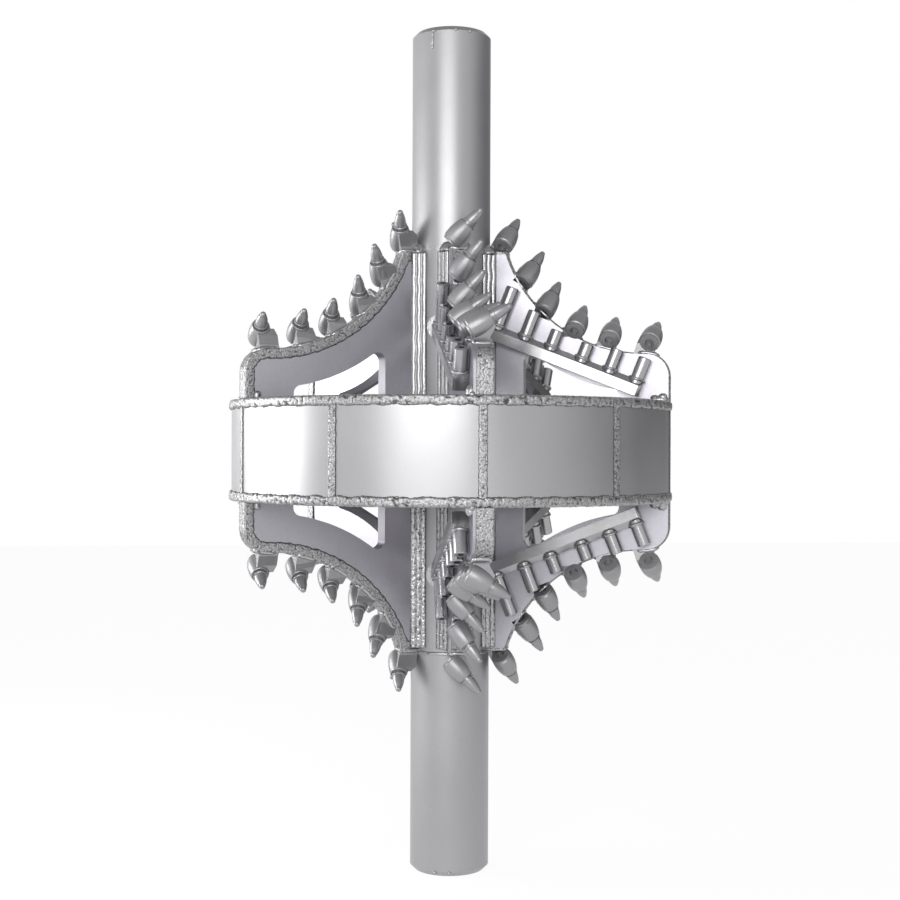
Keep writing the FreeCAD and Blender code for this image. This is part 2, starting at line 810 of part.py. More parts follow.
def add_nozzle(index, place, height):
    """Nozzle tube seated in its socket, square to the bar."""
    outside = dim["nozzle_diameter"] / 2
    bore = dim["nozzle_bore"] / 2
    ease = dim["nozzle_chamfer"]
    length = height + dim["nozzle_socket"]
    body = new_body(f"nozzle_{index}")
    revolve(body, [
        (bore, 0),
        (outside, 0),
        (outside, length - ease),
        (outside - ease, length),
        (bore, length),
    ])
    floor = dim["manifold_height"] / 2 - dim["nozzle_socket"]
    seat = Vector(place.number, -dim["manifold_depth"].number / 2, floor.number)
    body.Placement = manifold_frame() * Placement(seat, Rotation())
    return body


def add_passage_core():
    """The space of the bar's bore, carried on through the weld metal to the tube."""
    depth = dim["manifold_depth"].number
    start = Vector(bar_start().number * 2, -depth / 2, 0)
    local = Placement(start, Rotation(Vector(0, 0, 1), Vector(1, 0, 0)))
    return add_cylinder(
        "passage_core", dim["manifold_bore"] / 2, tube_radius, manifold_frame() * local)


def port_frame():
    """Radial frame where the manifold's bore opens on the tube, Z outwards."""
    offset = half_wing.number + dim["manifold_depth"].number / 2
    angle = math.asin(offset / tube_radius.number)
    outwards = Vector(math.cos(angle), -math.sin(angle), 0)
    local = Placement(Vector(0, 0, port_height()), Rotation(Vector(0, 0, 1), outwards))
    return wing_frame(1) * local


def port_height():
    """Height of the bar's axis where it passes through the tube's outside."""
    offset = half_wing.number + dim["manifold_depth"].number / 2
    inset = tube_radius.number - math.sqrt(tube_radius.number ** 2 - offset ** 2)
    return dim["manifold_start"].number + inset * math.tan(
        math.radians(dim["manifold_slope"].number))


def add_cylinder(label, radius, height, placement):
    cylinder = doc.addObject("Part::Cylinder", label)
    bind(cylinder, "Radius", radius)
    bind(cylinder, "Height", height)
    cylinder.Placement = placement
    return cylinder


def tube_stock(label, radius):
    """The mandrel as a plain bar, to fit other pieces to its outside."""
    return add_cylinder(label, radius, dim["overall_length"], Placement())


# Picks, retaining sleeves and holders
def pick_frame(station):
    """Frame of a pick on wing 1: Z along the pick, with Z = 0 on the holder's rear face."""
    seat, outwards = edge_place(station["radius"].number)
    crossing = seat + outwards * station["lift"].number
    rake = math.radians(station["rake"].number)
    lean = math.radians(station["lean"].number)
    axis = Vector(math.cos(lean) * math.sin(rake), math.sin(lean), math.cos(lean) * math.cos(rake))
    rear = crossing + axis * (station["reach"].number - seated_length.number)
    local = Placement(rear, Rotation(Vector(0, 0, 1), axis))
    return wing_frame(1) * local


def foot_frame(station):
    """Frame of a holder's foot, where the pick axis crosses the middle of wing 1: X the way the
    pick faces, Y up the pick as seen from the side of the wing, Z away from the mandrel."""
    seat, outwards = edge_place(station["radius"].number)
    crossing = seat + outwards * station["lift"].number
    rake = math.radians(station["rake"].number)
    ahead = Vector(0, 1, 0)
    up = Vector(math.sin(rake), 0, math.cos(rake))
    return wing_frame(1) * Placement(crossing, Rotation(ahead, up, ahead.cross(up), "XYZ"))


def pick_profile():
    """Half section of a pick from the shank's end, at Z = 0, to its rounded point."""
    shank = dim["shank_diameter"] / 2
    groove = dim["groove_diameter"] / 2
    flange = dim["flange_diameter"] / 2
    neck = dim["neck_diameter"] / 2
    collar = dim["collar_diameter"] / 2
    point = dim["point_radius"]
    groove_end = dim["groove_start"] + dim["groove_length"]
    flange_top = dim["shank_length"] + dim["flange_thickness"]
    neck_top = flange_top + dim["neck_length"]
    collar_top = neck_top + dim["collar_thickness"]
    tip_start = dim["pick_length"] - dim["tip_length"]
    shank_ease = dim["shank_chamfer"]
    collar_ease = dim["collar_chamfer"]
    return [
        (0, 0),
        (shank - shank_ease, 0),
        (shank, shank_ease),
        (shank, dim["groove_start"]),
        (groove, dim["groove_start"]),
        (groove, groove_end),
        (shank, groove_end),
        (shank, dim["shank_length"]),
        (flange, dim["shank_length"]),
        (flange, flange_top),
        (neck, flange_top),
        (neck, neck_top),
        (collar, neck_top),
        (collar, collar_top - collar_ease),
        (collar - collar_ease, collar_top),
        (dim["nose_diameter"] / 2, collar_top, dim["nose_bulge"], 1),
        (dim["nose_end_diameter"] / 2, tip_start),
        (dim["tip_diameter"] / 2, tip_start),
        (point, dim["pick_length"] - point, point, 1),
        (0, dim["pick_length"]),
    ]


def add_pick(label, placement):
    body = new_body(label)
    revolve(body, pick_profile())
    body.Placement = placement * Placement(
        Vector(0, 0, dim["rear_wall"].number + dim["seat_gap"].number), Rotation())
    return body


def add_sleeve():
    """Split spring sleeve that fills the shank's groove and grips the holder's bore."""
    outside = dim["shank_diameter"] / 2
    inside = dim["groove_diameter"] / 2 + dim["running_gap"]
    start = dim["groove_start"] + dim["seat_gap"]
    end = dim["groove_start"] + dim["groove_length"] - dim["seat_gap"]
    body = new_body("retaining_sleeve")
    revolve(body, [(inside, start), (outside, start), (outside, end), (inside, end)])
    slit = new_sketch(body, "XY_Plane", start)
    half_slit = dim["sleeve_slit"] / 2
    draw_outline(slit, [
        (0, -half_slit),
        (outside * 2, -half_slit),
        (outside * 2, half_slit),
        (0, half_slit),
    ])
    cut(body, slit, end, upwards=True)
    return body


def add_barrel():
    """Solid outside of a pick holder: rear boss, curved belly and mouth."""
    boss = dim["boss_diameter"] / 2
    shoulder = dim["holder_shoulder"] / 2
    mouth = dim["holder_mouth"] / 2
    length = dim["holder_length"]
    chamfer = dim["mouth_chamfer"]
    belly_start = dim["boss_length"] + shoulder - boss
    body = new_body("holder_barrel")
    revolve(body, [
        (0, 0),
        (boss, 0),
        (boss, dim["boss_length"]),
        (shoulder, belly_start, dim["holder_bulge"], 1),
        (mouth, length - chamfer),
        (mouth - chamfer, length),
        (0, length),
    ])
    return body


def add_holder_bore():
    """What the holder's inside takes away: room behind it, knock-out hole, bore and recess."""
    boss = dim["boss_diameter"] / 2
    knockout = dim["knockout_diameter"] / 2
    bore = dim["shank_diameter"] / 2 + dim["running_gap"]
    recess = dim["flange_diameter"] / 2 + dim["mouth_gap"]
    wall = dim["rear_wall"]
    seat = wall + dim["shank_length"]
    beyond = dim["holder_length"] * 2
    body = new_body("holder_bore")
    revolve(body, [
        (0, -wall),
        (boss, -wall),
        (boss, 0),
        (knockout, 0),
        (knockout, wall),
        (bore, wall),
        (bore, seat),
        (recess, seat),
        (recess, beyond),
        (0, beyond),
    ])
    return body


def add_foot(index, station):
    """Flat-cheeked foot that carries a holder's mouth on the wing edge, before it is fitted."""
    run, rise = sine(station["lean"]), cosine(station["lean"])
    mouth = dim["holder_mouth"] / 2
    rear_end = station["reach"] - seated_length + dim["foot_rear"]
    front_end = station["reach"] - seated_length + dim["holder_length"] - dim["foot_setback"]
    lip_ahead = front_end * run + mouth * rise
    lip_up = front_end * rise - mouth * run
    depth = station["lift"] + dim["foot_sink"]
    body = new_body(f"foot_blank_{index}")
    body.Placement = foot_frame(station)
    cheeks = []
    for side, drop in ((dim["foot_downhill"], 0), (-dim["foot_uphill"], dim["foot_drop"])):
        cheek = new_sketch(body, "XY_Plane", side)
        draw_outline(cheek, [
            (-dim["foot_back"], -depth),
            (dim["foot_front"], -depth),
            (dim["foot_front"], lip_up - drop - (lip_ahead - dim["foot_front"]) * dim["foot_slope"]),
            (lip_ahead, lip_up - drop),
            (front_end * run, front_end * rise - drop),
            (rear_end * run, rear_end * rise - drop),
        ])
        cheeks.append(cheek)
    loft = body.newObject("PartDesign::AdditiveLoft", f"foot_loft_{index}")
    loft.Profile = cheeks[0]
    loft.Sections = cheeks[1:]
    loft.Ruled = True
    return body


def add_barrels_and_bores():
    """Outside and bore of each holder on the upper edge of wing 1."""
    barrel = add_barrel()
    bore = add_holder_bore()
    outsides = []
    insides = []
    for index, station in enumerate(station_sizes, start=1):
        frame = pick_frame(station)
        outsides.append(linked(barrel, f"barrel_{index}", frame))
        insides.append(linked(bore, f"bore_{index}", frame))
    return outsides, insides


def add_holders(outsides, insides, wing_plate, mandrel_clear):
    """The six holders: barrels sunk in notches of the wing, feet seated on its edge."""
    holders = []
    for index, station in enumerate(station_sizes, start=1):
        foot = boolean("Part::Cut", f"foot_{index}", add_foot(index, station), [wing_plate])
        blank = boolean("Part::MultiFuse", f"blank_{index}", outsides[index - 1], [foot])
        holders.append(boolean(
            "Part::Cut", f"holder_{index}", blank, [insides[index - 1], mandrel_clear]))
    return holders


def add_wings(plates, outsides, insides):
    """Wing plates with a notch for each holder, above and below."""
    above = gather("notches_above", outsides + insides)
    notches = gather("notches", [above, mirrored_below("notches_below", above)])
    wings = []
    for number, plate in zip(wing_numbers, plates):
        tool = linked(notches, f"notches_{number}", about_axis(wing_step * (number - 1)))
        wings.append(boolean("Part::Cut", f"wing_{number}", plate, [tool]))
    return wings


def build():
    """Build every sub-part and give back those that are written out."""
    parts = []
    mandrel = add_mandrel()
    parts += add_subs()
    parts.append(add_seam_weld())
    plates = [add_wing_plate(number) for number in wing_numbers]
    outsides, insides = add_barrels_and_bores()
    parts += add_wings(plates, outsides, insides)
    parts += [add_ring_segment(number) for number in wing_numbers]
    parts += [add_rim_hardfacing(), add_wear_strips()]

    # Picks on the upper half, each a piece that spins
    for number in wing_numbers:
        turned = about_axis(wing_step * (number - 1))
        for index, station in enumerate(station_sizes, start=1):
            parts.append(add_pick(f"pick_wing_{number}_seat_{index}", turned * pick_frame(station)))
    picks = [part for part in parts if part.Label.startswith("pick_")]
    parts.append(mirrored_below("lower_picks", gather("upper_picks", picks)))

    # Holders and sleeves
    mandrel_clear = tube_stock("mandrel_clear", tube_radius + dim["seam_crown"] * 2)
    holders = add_holders(outsides, insides, plates[0], mandrel_clear)
    wing_holders = gather("wing_holders", holders)
    upper_holders = round_the_wings("upper_pick_holders", wing_holders)
    sleeve = add_sleeve()
    lift = Placement(Vector(0, 0, dim["rear_wall"].number + dim["seat_gap"].number), Rotation())
    sleeves = []
    for index, station in enumerate(station_sizes, start=1):
        sleeves.append(linked(sleeve, f"sleeve_{index}", pick_frame(station) * lift))
    upper_sleeves = round_the_wings("upper_retaining_sleeves", gather("wing_sleeves", sleeves))
    parts += [upper_holders, mirrored_below("lower_pick_holders", upper_holders)]
    parts += [upper_sleeves, mirrored_below("lower_retaining_sleeves", upper_sleeves)]

    # Manifolds, their nozzle tubes and the weld pads at the tube
    mandrel_skin = tube_stock("mandrel_skin", tube_seat)
    bar = boolean("Part::Cut", "wing_manifold", add_manifold(), [mandrel_skin])
    pad_stock = add_cylinder(
        "pad_stock", dim["pad_radius"], tube_radius + dim["pad_height"], port_frame())
    core = add_passage_core()
    wing_pad = boolean("Part::Cut", "wing_pad", pad_stock, [mandrel_skin, plates[0], bar, core])
    nozzles = []
    for index, (place, height) in enumerate(nozzle_sizes, start=1):
        nozzles.append(add_nozzle(index, place, height))
    upper_bars = round_the_wings("upper_manifolds", bar)
    upper_nozzles = round_the_wings("upper_nozzle_tubes", gather("wing_nozzles", nozzles))
    parts += [upper_bars, mirrored_below("lower_manifolds", upper_bars)]
    parts += [upper_nozzles, mirrored_below("lower_nozzle_tubes", upper_nozzles)]
    upper_pads = round_the_wings("upper_inlet_pads", wing_pad)
    parts.append(gather("inlet_weld_pads", [upper_pads, mirrored_below("lower_pads", upper_pads)]))

    # Root welds, broken where the manifolds enter the tube and laid round the first holder
    breaks = gather("weld_breaks", [bar, pad_stock, core, outsides[0], insides[0]])
    below = mirrored_below("weld_breaks_below", breaks)
    sides = boolean("Part::Cut", "root_weld_sides", add_root_welds(), [breaks, below])
    first_holder = gather("first_holder", [holders[0], outsides[0], insides[0]])
    over_top = boolean("Part::Cut", "root_weld_return", add_weld_return(), [first_holder])
    parts.append(round_the_wings("wing_root_welds", gather("wing_root_weld", [sides, over_top])))

    # Hardfacing on the wing edges, laid round the holders
    fitted_round = gather("fitted_round", [plates[0], wing_holders] + insides)
    band = boolean("Part::Cut", "wing_band", add_edge_band(), [fitted_round])
    bands = gather("edge_bands", [band, mirrored_below("band_below", band)])
    parts.append(round_the_wings("wing_edge_hardfacing", bands))

    # Mandrel tube with a port behind each manifold
    port = add_cylinder("port", dim["port_diameter"] / 2, tube_radius * 2, port_frame())
    upper_ports = round_the_wings("upper_ports", port)
    lower_ports = mirrored_below("lower_ports", upper_ports)
    parts.insert(0, boolean("Part::Cut", "mandrel_tube", mandrel, [upper_ports, lower_ports]))
    return parts


def write_out(parts):
    """Recompute, check every object and write one STEP file for each sub-part."""
    doc.recompute()
    for item in doc.Objects:
        if "Invalid" in item.State or "Error" in item.State:
            raise RuntimeError(f"{item.Name} failed: {item.State}")
    for part in parts:
        shape = part.Shape
        if shape.isNull() or not shape.isValid() or not shape.Solids:
            raise RuntimeError(f"{part.Label} has no valid solid")
    os.makedirs("parts", exist_ok=True)
    for part in parts:
        part.Shape.exportStep(f"parts/{part.Label}.step")
        print(part.Label, len(part.Shape.Solids), "solids")


write_out(build())
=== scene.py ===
# Looks of a drilling reamer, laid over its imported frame: silver paint on every piece, lumpy weld
# beads and hardfacing, and a plain studio. All sizes are in metres, as in the frame. A wing's own
# frame has X outwards along the wing, Y the way the picks face and Z up from the barrel's middle.
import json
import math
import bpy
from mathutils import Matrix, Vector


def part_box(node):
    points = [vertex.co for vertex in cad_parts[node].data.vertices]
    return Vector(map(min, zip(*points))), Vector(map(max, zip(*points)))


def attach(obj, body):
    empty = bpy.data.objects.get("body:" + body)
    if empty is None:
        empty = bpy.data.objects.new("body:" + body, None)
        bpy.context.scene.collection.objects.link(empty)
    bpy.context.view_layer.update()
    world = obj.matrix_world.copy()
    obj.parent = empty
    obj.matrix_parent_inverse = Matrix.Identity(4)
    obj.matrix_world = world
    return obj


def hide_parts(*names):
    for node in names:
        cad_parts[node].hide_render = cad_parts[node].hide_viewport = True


bl_info = {
    "name": "Drilling reamer looks",
    "version": (1, 0, 0),
    "blender": (4, 5, 0),
    "location": "3D View > Sidebar > Reamer",
    "description": "Paint, weld beads, hardfacing and studio for the drilling reamer",
    "category": "Object",
}

from collections import namedtuple

import bpy
import numpy as np
from bpy.props import FloatProperty, FloatVectorProperty, IntProperty, PointerProperty
from bpy.types import Operator, Panel, PropertyGroup
from mathutils import Vector

MM = 0.001
WHOLE_TURN = 2 * math.pi
PICTURE_WIDTH = 900

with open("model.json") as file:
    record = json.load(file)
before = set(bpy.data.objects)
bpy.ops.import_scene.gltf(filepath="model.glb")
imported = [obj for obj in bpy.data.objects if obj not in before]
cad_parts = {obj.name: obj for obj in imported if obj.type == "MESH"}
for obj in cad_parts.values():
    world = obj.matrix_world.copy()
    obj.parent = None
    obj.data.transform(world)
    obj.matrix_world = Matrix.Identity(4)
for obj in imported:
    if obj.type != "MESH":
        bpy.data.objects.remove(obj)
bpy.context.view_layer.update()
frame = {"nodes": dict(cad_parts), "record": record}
record = frame["record"]
node_slots = {subpart["node"]: subpart["material_slot"] for subpart in record["subparts"]}

# Places read from the frame
low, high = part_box("mandrel_tube")
TUBE_RADIUS = (high[0] - low[0]) / 2
MIDDLE = (high[2] + low[2]) / 2
OVERALL_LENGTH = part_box("upper_sub")[1][2]
low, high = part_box("rim_hardfacing")
BEAD_RADIUS = (high[1] - low[1]) / 2
BEAD_TOP = high[2] - MIDDLE
low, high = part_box("ring_wear_strips")
STRIP_RADIUS = (high[1] - low[1]) / 2
STRIP_TOP = high[2] - MIDDLE
low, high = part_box("sub_seam_welds")
SEAM_HEIGHT = high[2] - MIDDLE
WING_NUMBERS = range(1, 6)
SIDES = (1, -1)
STRIP_COUNT = 2 * len(WING_NUMBERS)

# Nozzle tubes along a bar
NOZZLE_PLACES = (0.021, 0.088, 0.152, 0.227, 0.294, 0.358)

# Pick holders along a wing edge: radius, height of the pick axis above the edge, and how many
# degrees the holder leans outwards
HOLDER_SEATS = (
    (0.128, 0.034, 22), (0.156, 0.023, 29), (0.207, 0.028, 22),
    (0.277, 0.038, 15), (0.360, 0.041, 10), (0.461, 0.039, 18))

# A surface: its points on a grid, whether its rows close on themselves, and how deep each point
# lies in a gap, from 0 on a crest to 1, which the paint darkens as painted shade
Sheet = namedtuple("Sheet", "points closed gap")


def linear(colour):
    """Red, green, blue and alpha, linear, of a hex sRGB colour."""
    parts = [int(colour[index:index + 2], 16) / 255 for index in (0, 2, 4)]
    return tuple(c / 12.92 if c < 0.04045 else ((c + 0.055) / 1.055) ** 2.4 for c in parts) + (1.0,)


# Sizes and colours that a user would change
class WingSizes(PropertyGroup):
    """The wing's outline and what is fixed along it."""

    thickness: FloatProperty(
        name="Plate", description="Thickness of a wing", default=0.040, unit="LENGTH")
    top: FloatProperty(
        name="Top", description="Wing root above the barrel's middle", default=0.449, unit="LENGTH")
    shoulder: FloatProperty(
        name="Shoulder", description="Flat outer edge above the middle", default=0.219,
        unit="LENGTH")
    sweep: FloatProperty(
        name="Sweep", description="Radius of the concave edge", default=0.331, unit="LENGTH")
    sweep_end: FloatProperty(
        name="Sweep end", description="Where the sweep meets the shoulder", default=0.445,
        unit="LENGTH")
    reach: FloatProperty(
        name="Reach", description="Radius of the outer edge", default=0.499, unit="LENGTH")
    corner: FloatProperty(
        name="Corner", description="Rounding of the outer corner", default=0.050, unit="LENGTH")
    band: FloatProperty(
        name="Band", description="Hardfacing down the leading face", default=0.020, unit="LENGTH")
    weld_leg: FloatProperty(
        name="Root weld", description="Leg of the root welds", default=0.021, unit="LENGTH")


class ManifoldSizes(PropertyGroup):
    """The bars on the trailing faces of the wings and their nozzle tubes."""

    start: FloatProperty(
        name="Start", description="Bar's axis where it leaves the tube", default=0.276,
        unit="LENGTH")
    slope: FloatProperty(
        name="Slope", description="Fall of the bar outwards", subtype="ANGLE",
        default=math.radians(21.5))
    height: FloatProperty(
        name="Height", description="Bar across the wing face", default=0.036, unit="LENGTH")
    depth: FloatProperty(
        name="Depth", description="Bar off the wing face", default=0.034, unit="LENGTH")
    nozzle_radius: FloatProperty(
        name="Nozzle", description="Outside radius of a nozzle tube", default=0.015, unit="LENGTH")


class BeadSizes(PropertyGroup):
    """How coarse the hardfacing and the weld beads are."""

    globule: FloatProperty(
        name="Globule", description="Spacing of the drops on the rims", default=0.0075,
        unit="LENGTH")
    globule_height: FloatProperty(
        name="Globule height", description="How far such a drop stands out", default=0.0026,
        unit="LENGTH")
    grain: FloatProperty(
        name="Grain", description="Spacing of the drops on edges and strips", default=0.005,
        unit="LENGTH")
    grain_height: FloatProperty(
        name="Grain height", description="How far such a drop stands out", default=0.0011,
        unit="LENGTH")
    ripple: FloatProperty(
        name="Ripple", description="Spacing of the ripples along a weld", default=0.0065,
        unit="LENGTH")
    grid: FloatProperty(
        name="Grid", description="Spacing of the points on a bead", default=0.0025, unit="LENGTH")
    passes: IntProperty(
        name="Passes", description="Weld passes side by side at a wing root", default=3)


class PaintColours(PropertyGroup):
    """Colours of the paint and of the bare steel."""

    silver: FloatVectorProperty(
        name="Silver", description="Aluminium paint", subtype="COLOR", size=4,
        default=linear("A9A9AB"))
    plate: FloatVectorProperty(
        name="Plate silver", description="Paint on the rolled plate", subtype="COLOR", size=4,
        default=linear("B0AEB5"))
    bead: FloatVectorProperty(
        name="Bead silver", description="Paint on weld metal", subtype="COLOR", size=4,
        default=linear("B4B4B5"))
    forged: FloatVectorProperty(
        name="Forged silver", description="Paint on holders and picks", subtype="COLOR", size=4,
        default=linear("9C9C9E"))
    spring: FloatVectorProperty(
        name="Spring steel", description="Bare retaining sleeves", subtype="COLOR", size=4,
        default=linear("7B7A79"))


class StudioLevels(PropertyGroup):
    """Camera and lamps."""

    azimuth: FloatProperty(
        name="Camera azimuth", description="From the front towards the left", subtype="ANGLE",
        default=math.radians(7.46))
    distance: FloatProperty(
        name="Camera distance", description="From the mandrel's axis", default=3.5, unit="LENGTH")
    lens: FloatProperty(name="Lens", description="Focal length in millimetres", default=60.66)
    roll: FloatProperty(
        name="Roll", description="Turn of the camera", subtype="ANGLE", default=math.radians(0.2))
    front_lamp: FloatProperty(name="Front lamp", description="Watts", default=57, subtype="POWER")
    side_lamp: FloatProperty(name="Side lamp", description="Watts", default=45, subtype="POWER")
    room: FloatProperty(name="Room", description="Strength of the room's own light", default=0.45)
    dark_side: FloatProperty(
        name="Dark side", description="What is left of the room's reflection on the right",
        default=0.15)
    ceiling: FloatProperty(
        name="Ceiling", description="What is left of the room's reflection overhead", default=0.4)


# Shapes as whole arrays
def cell_numbers(cells, seed):
    """Three numbers from 0 to 1 for each cell of a lattice: its three whole numbers are multiplied
    by large odd numbers, mixed bit by bit and cut down again, three times over."""
    mixed = cells[..., 0] * 73856093 ^ cells[..., 1] * 19349663 ^ cells[..., 2] * 83492791
    mixed = (mixed ^ (seed * 7919)) & 0x7FFFFFFF
    numbers = []
    for turn in range(3):
        mixed = ((mixed ^ (mixed >> 13)) * 1274126177 + turn) & 0x7FFFFFFF
        numbers.append(mixed / 0x7FFFFFFF)
    return np.stack(numbers, axis=-1)


def globules(points, spacing, seed):
    """Heights from 0 to 1 of round drops scattered through space. Each cell of a lattice holds one
    drop at a random place. A point's height is the dome over the nearest drop: the square root of
    one less the squared distance to its centre, in drop radii of three quarters of a cell."""
    scaled = points / spacing
    cells = np.floor(scaled).astype(np.int64)
    nearest = np.full(points.shape[:-1], 9.0)
    for offset in np.ndindex(3, 3, 3):
        neighbours = cells + offset - np.array((1, 1, 1))
        centres = neighbours + 0.1 + 0.8 * cell_numbers(neighbours, seed)
        nearest = np.minimum(nearest, ((scaled - centres) ** 2).sum(axis=-1))
    return np.sqrt(np.clip(1 - nearest / 0.75 ** 2, 0, None))


def wander(places, spacing, seed, length=None):
    """Smooth wander from -1 to 1 along a line: the mean of four sines of random length and start.
    Where the line closes on itself after a length, each sine fits it a whole number of times."""
    chance = np.random.default_rng(seed)
    waves = []
    for wave in range(4):
        rate = 1 / (spacing * chance.uniform(0.6, 1.6))
        if length:
            rate = round(rate * length) / length
        waves.append(np.sin(places * WHOLE_TURN * rate + chance.uniform(0, 7)))
    return sum(waves) / 4


def squarish(count, half_width, half_height, power=4):
    """Closed outline between an ellipse and a rectangle, as count points: the cosine and the sine
    of the angle round it, each raised to 2 / power with its sign kept."""
    angle = np.linspace(0, WHOLE_TURN, count, endpoint=False)
    across = np.sign(np.cos(angle)) * np.abs(np.cos(angle)) ** (2 / power)
    up = np.sign(np.sin(angle)) * np.abs(np.sin(angle)) ** (2 / power)
    return np.stack([across * half_width, up * half_height], axis=-1)


def outline_normals(outline):
    """Unit normals of a closed flat outline: its chord over two steps, turned a quarter turn."""
    chord = np.roll(outline, -1, axis=-2) - np.roll(outline, 1, axis=-2)
    normal = np.stack([chord[..., 1], -chord[..., 0]], axis=-1)
    return normal / np.maximum(np.linalg.norm(normal, axis=-1, keepdims=True), 1e-9)


def carry(outline, origins, first, second):
    """Surface of a closed outline carried along a path. The outline's two directions are first and
    second at each of the path's origins: point = origin + x * first + y * second. The outline is
    one for the whole path, or one for each of its points."""
    x = outline[..., 0][..., None]
    y = outline[..., 1][..., None]
    return origins[:, None, :] + x * first[:, None, :] + y * second[:, None, :]


def lumpy(points, closed, spacing, height, seed, border=0):
    """A surface moved out along its own normals by drops of the given spacing and height. The
    normal is the cross product of the steps along and across the grid, turned away from the middle
    of its row. A point lies as deep in a gap as the drop over it is low, and a border has a depth
    of its own; the paint darkens that depth as painted shade."""
    if closed:
        along = np.roll(points, -1, axis=0) - np.roll(points, 1, axis=0)
    else:
        along = np.gradient(points, axis=0)
    across = np.roll(points, -1, axis=1) - np.roll(points, 1, axis=1)
    normal = np.cross(along, across)
    normal /= np.maximum(np.linalg.norm(normal, axis=-1, keepdims=True), 1e-12)
    outwards = points - points.mean(axis=1, keepdims=True)
    normal *= np.sign((normal * outwards).sum(axis=(1, 2)))[:, None, None]
    rise = globules(points, spacing, seed)
    gap = np.maximum(np.clip(1 - 1.5 * rise, 0, 1), border)
    return Sheet(points + normal * (rise * height)[..., None], closed, gap)


def spread(corners, count):
    """Points evenly spaced round a closed outline through corners, whose first two numbers are
    their place. The last number of a corner is how closely the run after it is filled, and the
    others are carried along with it."""
    corners = np.array(corners, dtype=float)
    looped = np.concatenate([corners, corners[:1]])
    steps = np.linalg.norm(np.diff(looped[:, :2], axis=0), axis=1) * corners[:, -1]
    ends = np.concatenate([[0], np.cumsum(steps)])
    places = np.linspace(0, ends[-1], count, endpoint=False)
    columns = [np.interp(places, ends, looped[:, axis]) for axis in range(corners.shape[1] - 1)]
    return np.stack(columns, axis=-1)


def grid_faces(rows, columns, closed):
    """Quads between neighbouring points of a grid that is closed across its columns, and along its
    rows where closed is true, with a face over each open end."""
    row = np.arange(rows if closed else rows - 1)[:, None]
    column = np.arange(columns)[None, :]
    next_row = (row + 1) % rows * columns
    next_column = (column + 1) % columns
    row = row * columns
    corners = (row + column, row + next_column, next_row + next_column, next_row + column)
    faces = np.stack(corners, axis=-1).reshape(-1, 4).tolist()
    if not closed:
        faces.append(list(range(columns))[::-1])
        faces.append(list(range((rows - 1) * columns, rows * columns)))
    return faces


def enclosed(points):
    """Sum over the grid of each quad's place times its area direction, which is positive where the
    quads of grid_faces point outwards."""
    centred = points - points.mean(axis=(0, 1))
    ahead = np.roll(centred, -1, axis=1)
    area = np.cross(ahead[:-1] - centred[1:], ahead[1:] - centred[:-1])
    return (centred[:-1] * area).sum()


def make_piece(name, sheets, slot, replaced=()):
    """One mesh from several closed sheets, in the paint of its slot and riding on the reamer."""
    points = []
    gaps = []
    faces = []
    count = 0
    for sheet in sheets:
        turn = -1 if enclosed(sheet.points) < 0 else 1
        quads = grid_faces(*sheet.gap.shape, sheet.closed)
        faces += [[corner + count for corner in face] for face in quads]
        points.append(sheet.points[:, ::turn].reshape(-1, 3))
        gaps.append(sheet.gap[:, ::turn].ravel())
        count += len(points[-1])
    mesh = bpy.data.meshes.new(name)
    mesh.from_pydata(np.concatenate(points), [], faces)
    mesh.attributes.new("gap", "FLOAT", "POINT").data.foreach_set("value", np.concatenate(gaps))
    mesh.shade_smooth()
    mesh.materials.append(finish_of(slot))
    piece = bpy.data.objects.new(name, mesh)
    bpy.context.scene.collection.objects.link(piece)
    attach(piece, "reamer")
    for node in replaced:
        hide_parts(node)


def on_wing(sheet, number, half=1):
    """A sheet given in a wing's own frame, turned to that wing's place round the barrel; half is -1
    for the lower half, which mirrors the upper one."""
    angle = WHOLE_TURN * ((number - 1) / len(WING_NUMBERS) - 0.25)
    x, y, z = np.moveaxis(sheet.points, -1, 0)
    turned = (x * math.cos(angle) - y * math.sin(angle), x * math.sin(angle) + y * math.cos(angle))
    return sheet._replace(points=np.stack([*turned, MIDDLE + half * z], axis=-1))


def line_steps(start, end, spacing):
    """Evenly spaced numbers from start to end, about one spacing apart."""
    return np.linspace(start, end, max(int(abs(end - start) / spacing), 2) + 1)


def wing_edge(sizes, inner, bottom, spacing):
    """Path along the wing's edge as points and outward directions (x, z): the flat top, the concave
    sweep, the shoulder, the rounded corner and the outer edge. On each arc, a point is the centre
    plus the radius times the direction of its angle."""
    centre = (sizes.sweep_end, sizes.shoulder + sizes.sweep)
    first_angle = math.pi + math.asin((centre[1] - sizes.top) / sizes.sweep)
    angle = line_steps(first_angle, 1.5 * math.pi, spacing / sizes.sweep)
    sweep_way = np.stack([np.cos(angle), np.sin(angle)], axis=-1)
    sweep = centre + sizes.sweep * sweep_way
    turn = (sizes.reach - sizes.corner, sizes.shoulder - sizes.corner)
    angle = line_steps(math.pi / 2, 0, spacing / sizes.corner)
    corner_way = np.stack([np.cos(angle), np.sin(angle)], axis=-1)
    corner = turn + sizes.corner * corner_way
    top = line_steps(inner, sweep[0, 0], spacing)[:-1]
    top = np.stack([top, np.full_like(top, sizes.top)], axis=-1)
    outside = line_steps(turn[1], bottom, spacing)[1:]
    outside = np.stack([np.full_like(outside, sizes.reach), outside], axis=-1)
    shoulder = line_steps(sizes.sweep_end, turn[0], spacing)[1:-1]
    shoulder = np.stack([shoulder, np.full_like(shoulder, sizes.shoulder)], axis=-1)
    up = np.array([[0.0, 1.0]])
    out = np.array([[1.0, 0.0]])
    points = np.concatenate([top, sweep, shoulder, corner, outside])
    ways = np.concatenate([
        np.repeat(up, len(top), axis=0), -sweep_way, np.repeat(up, len(shoulder), axis=0),
        corner_way, np.repeat(out, len(outside), axis=0)])
    return points, ways


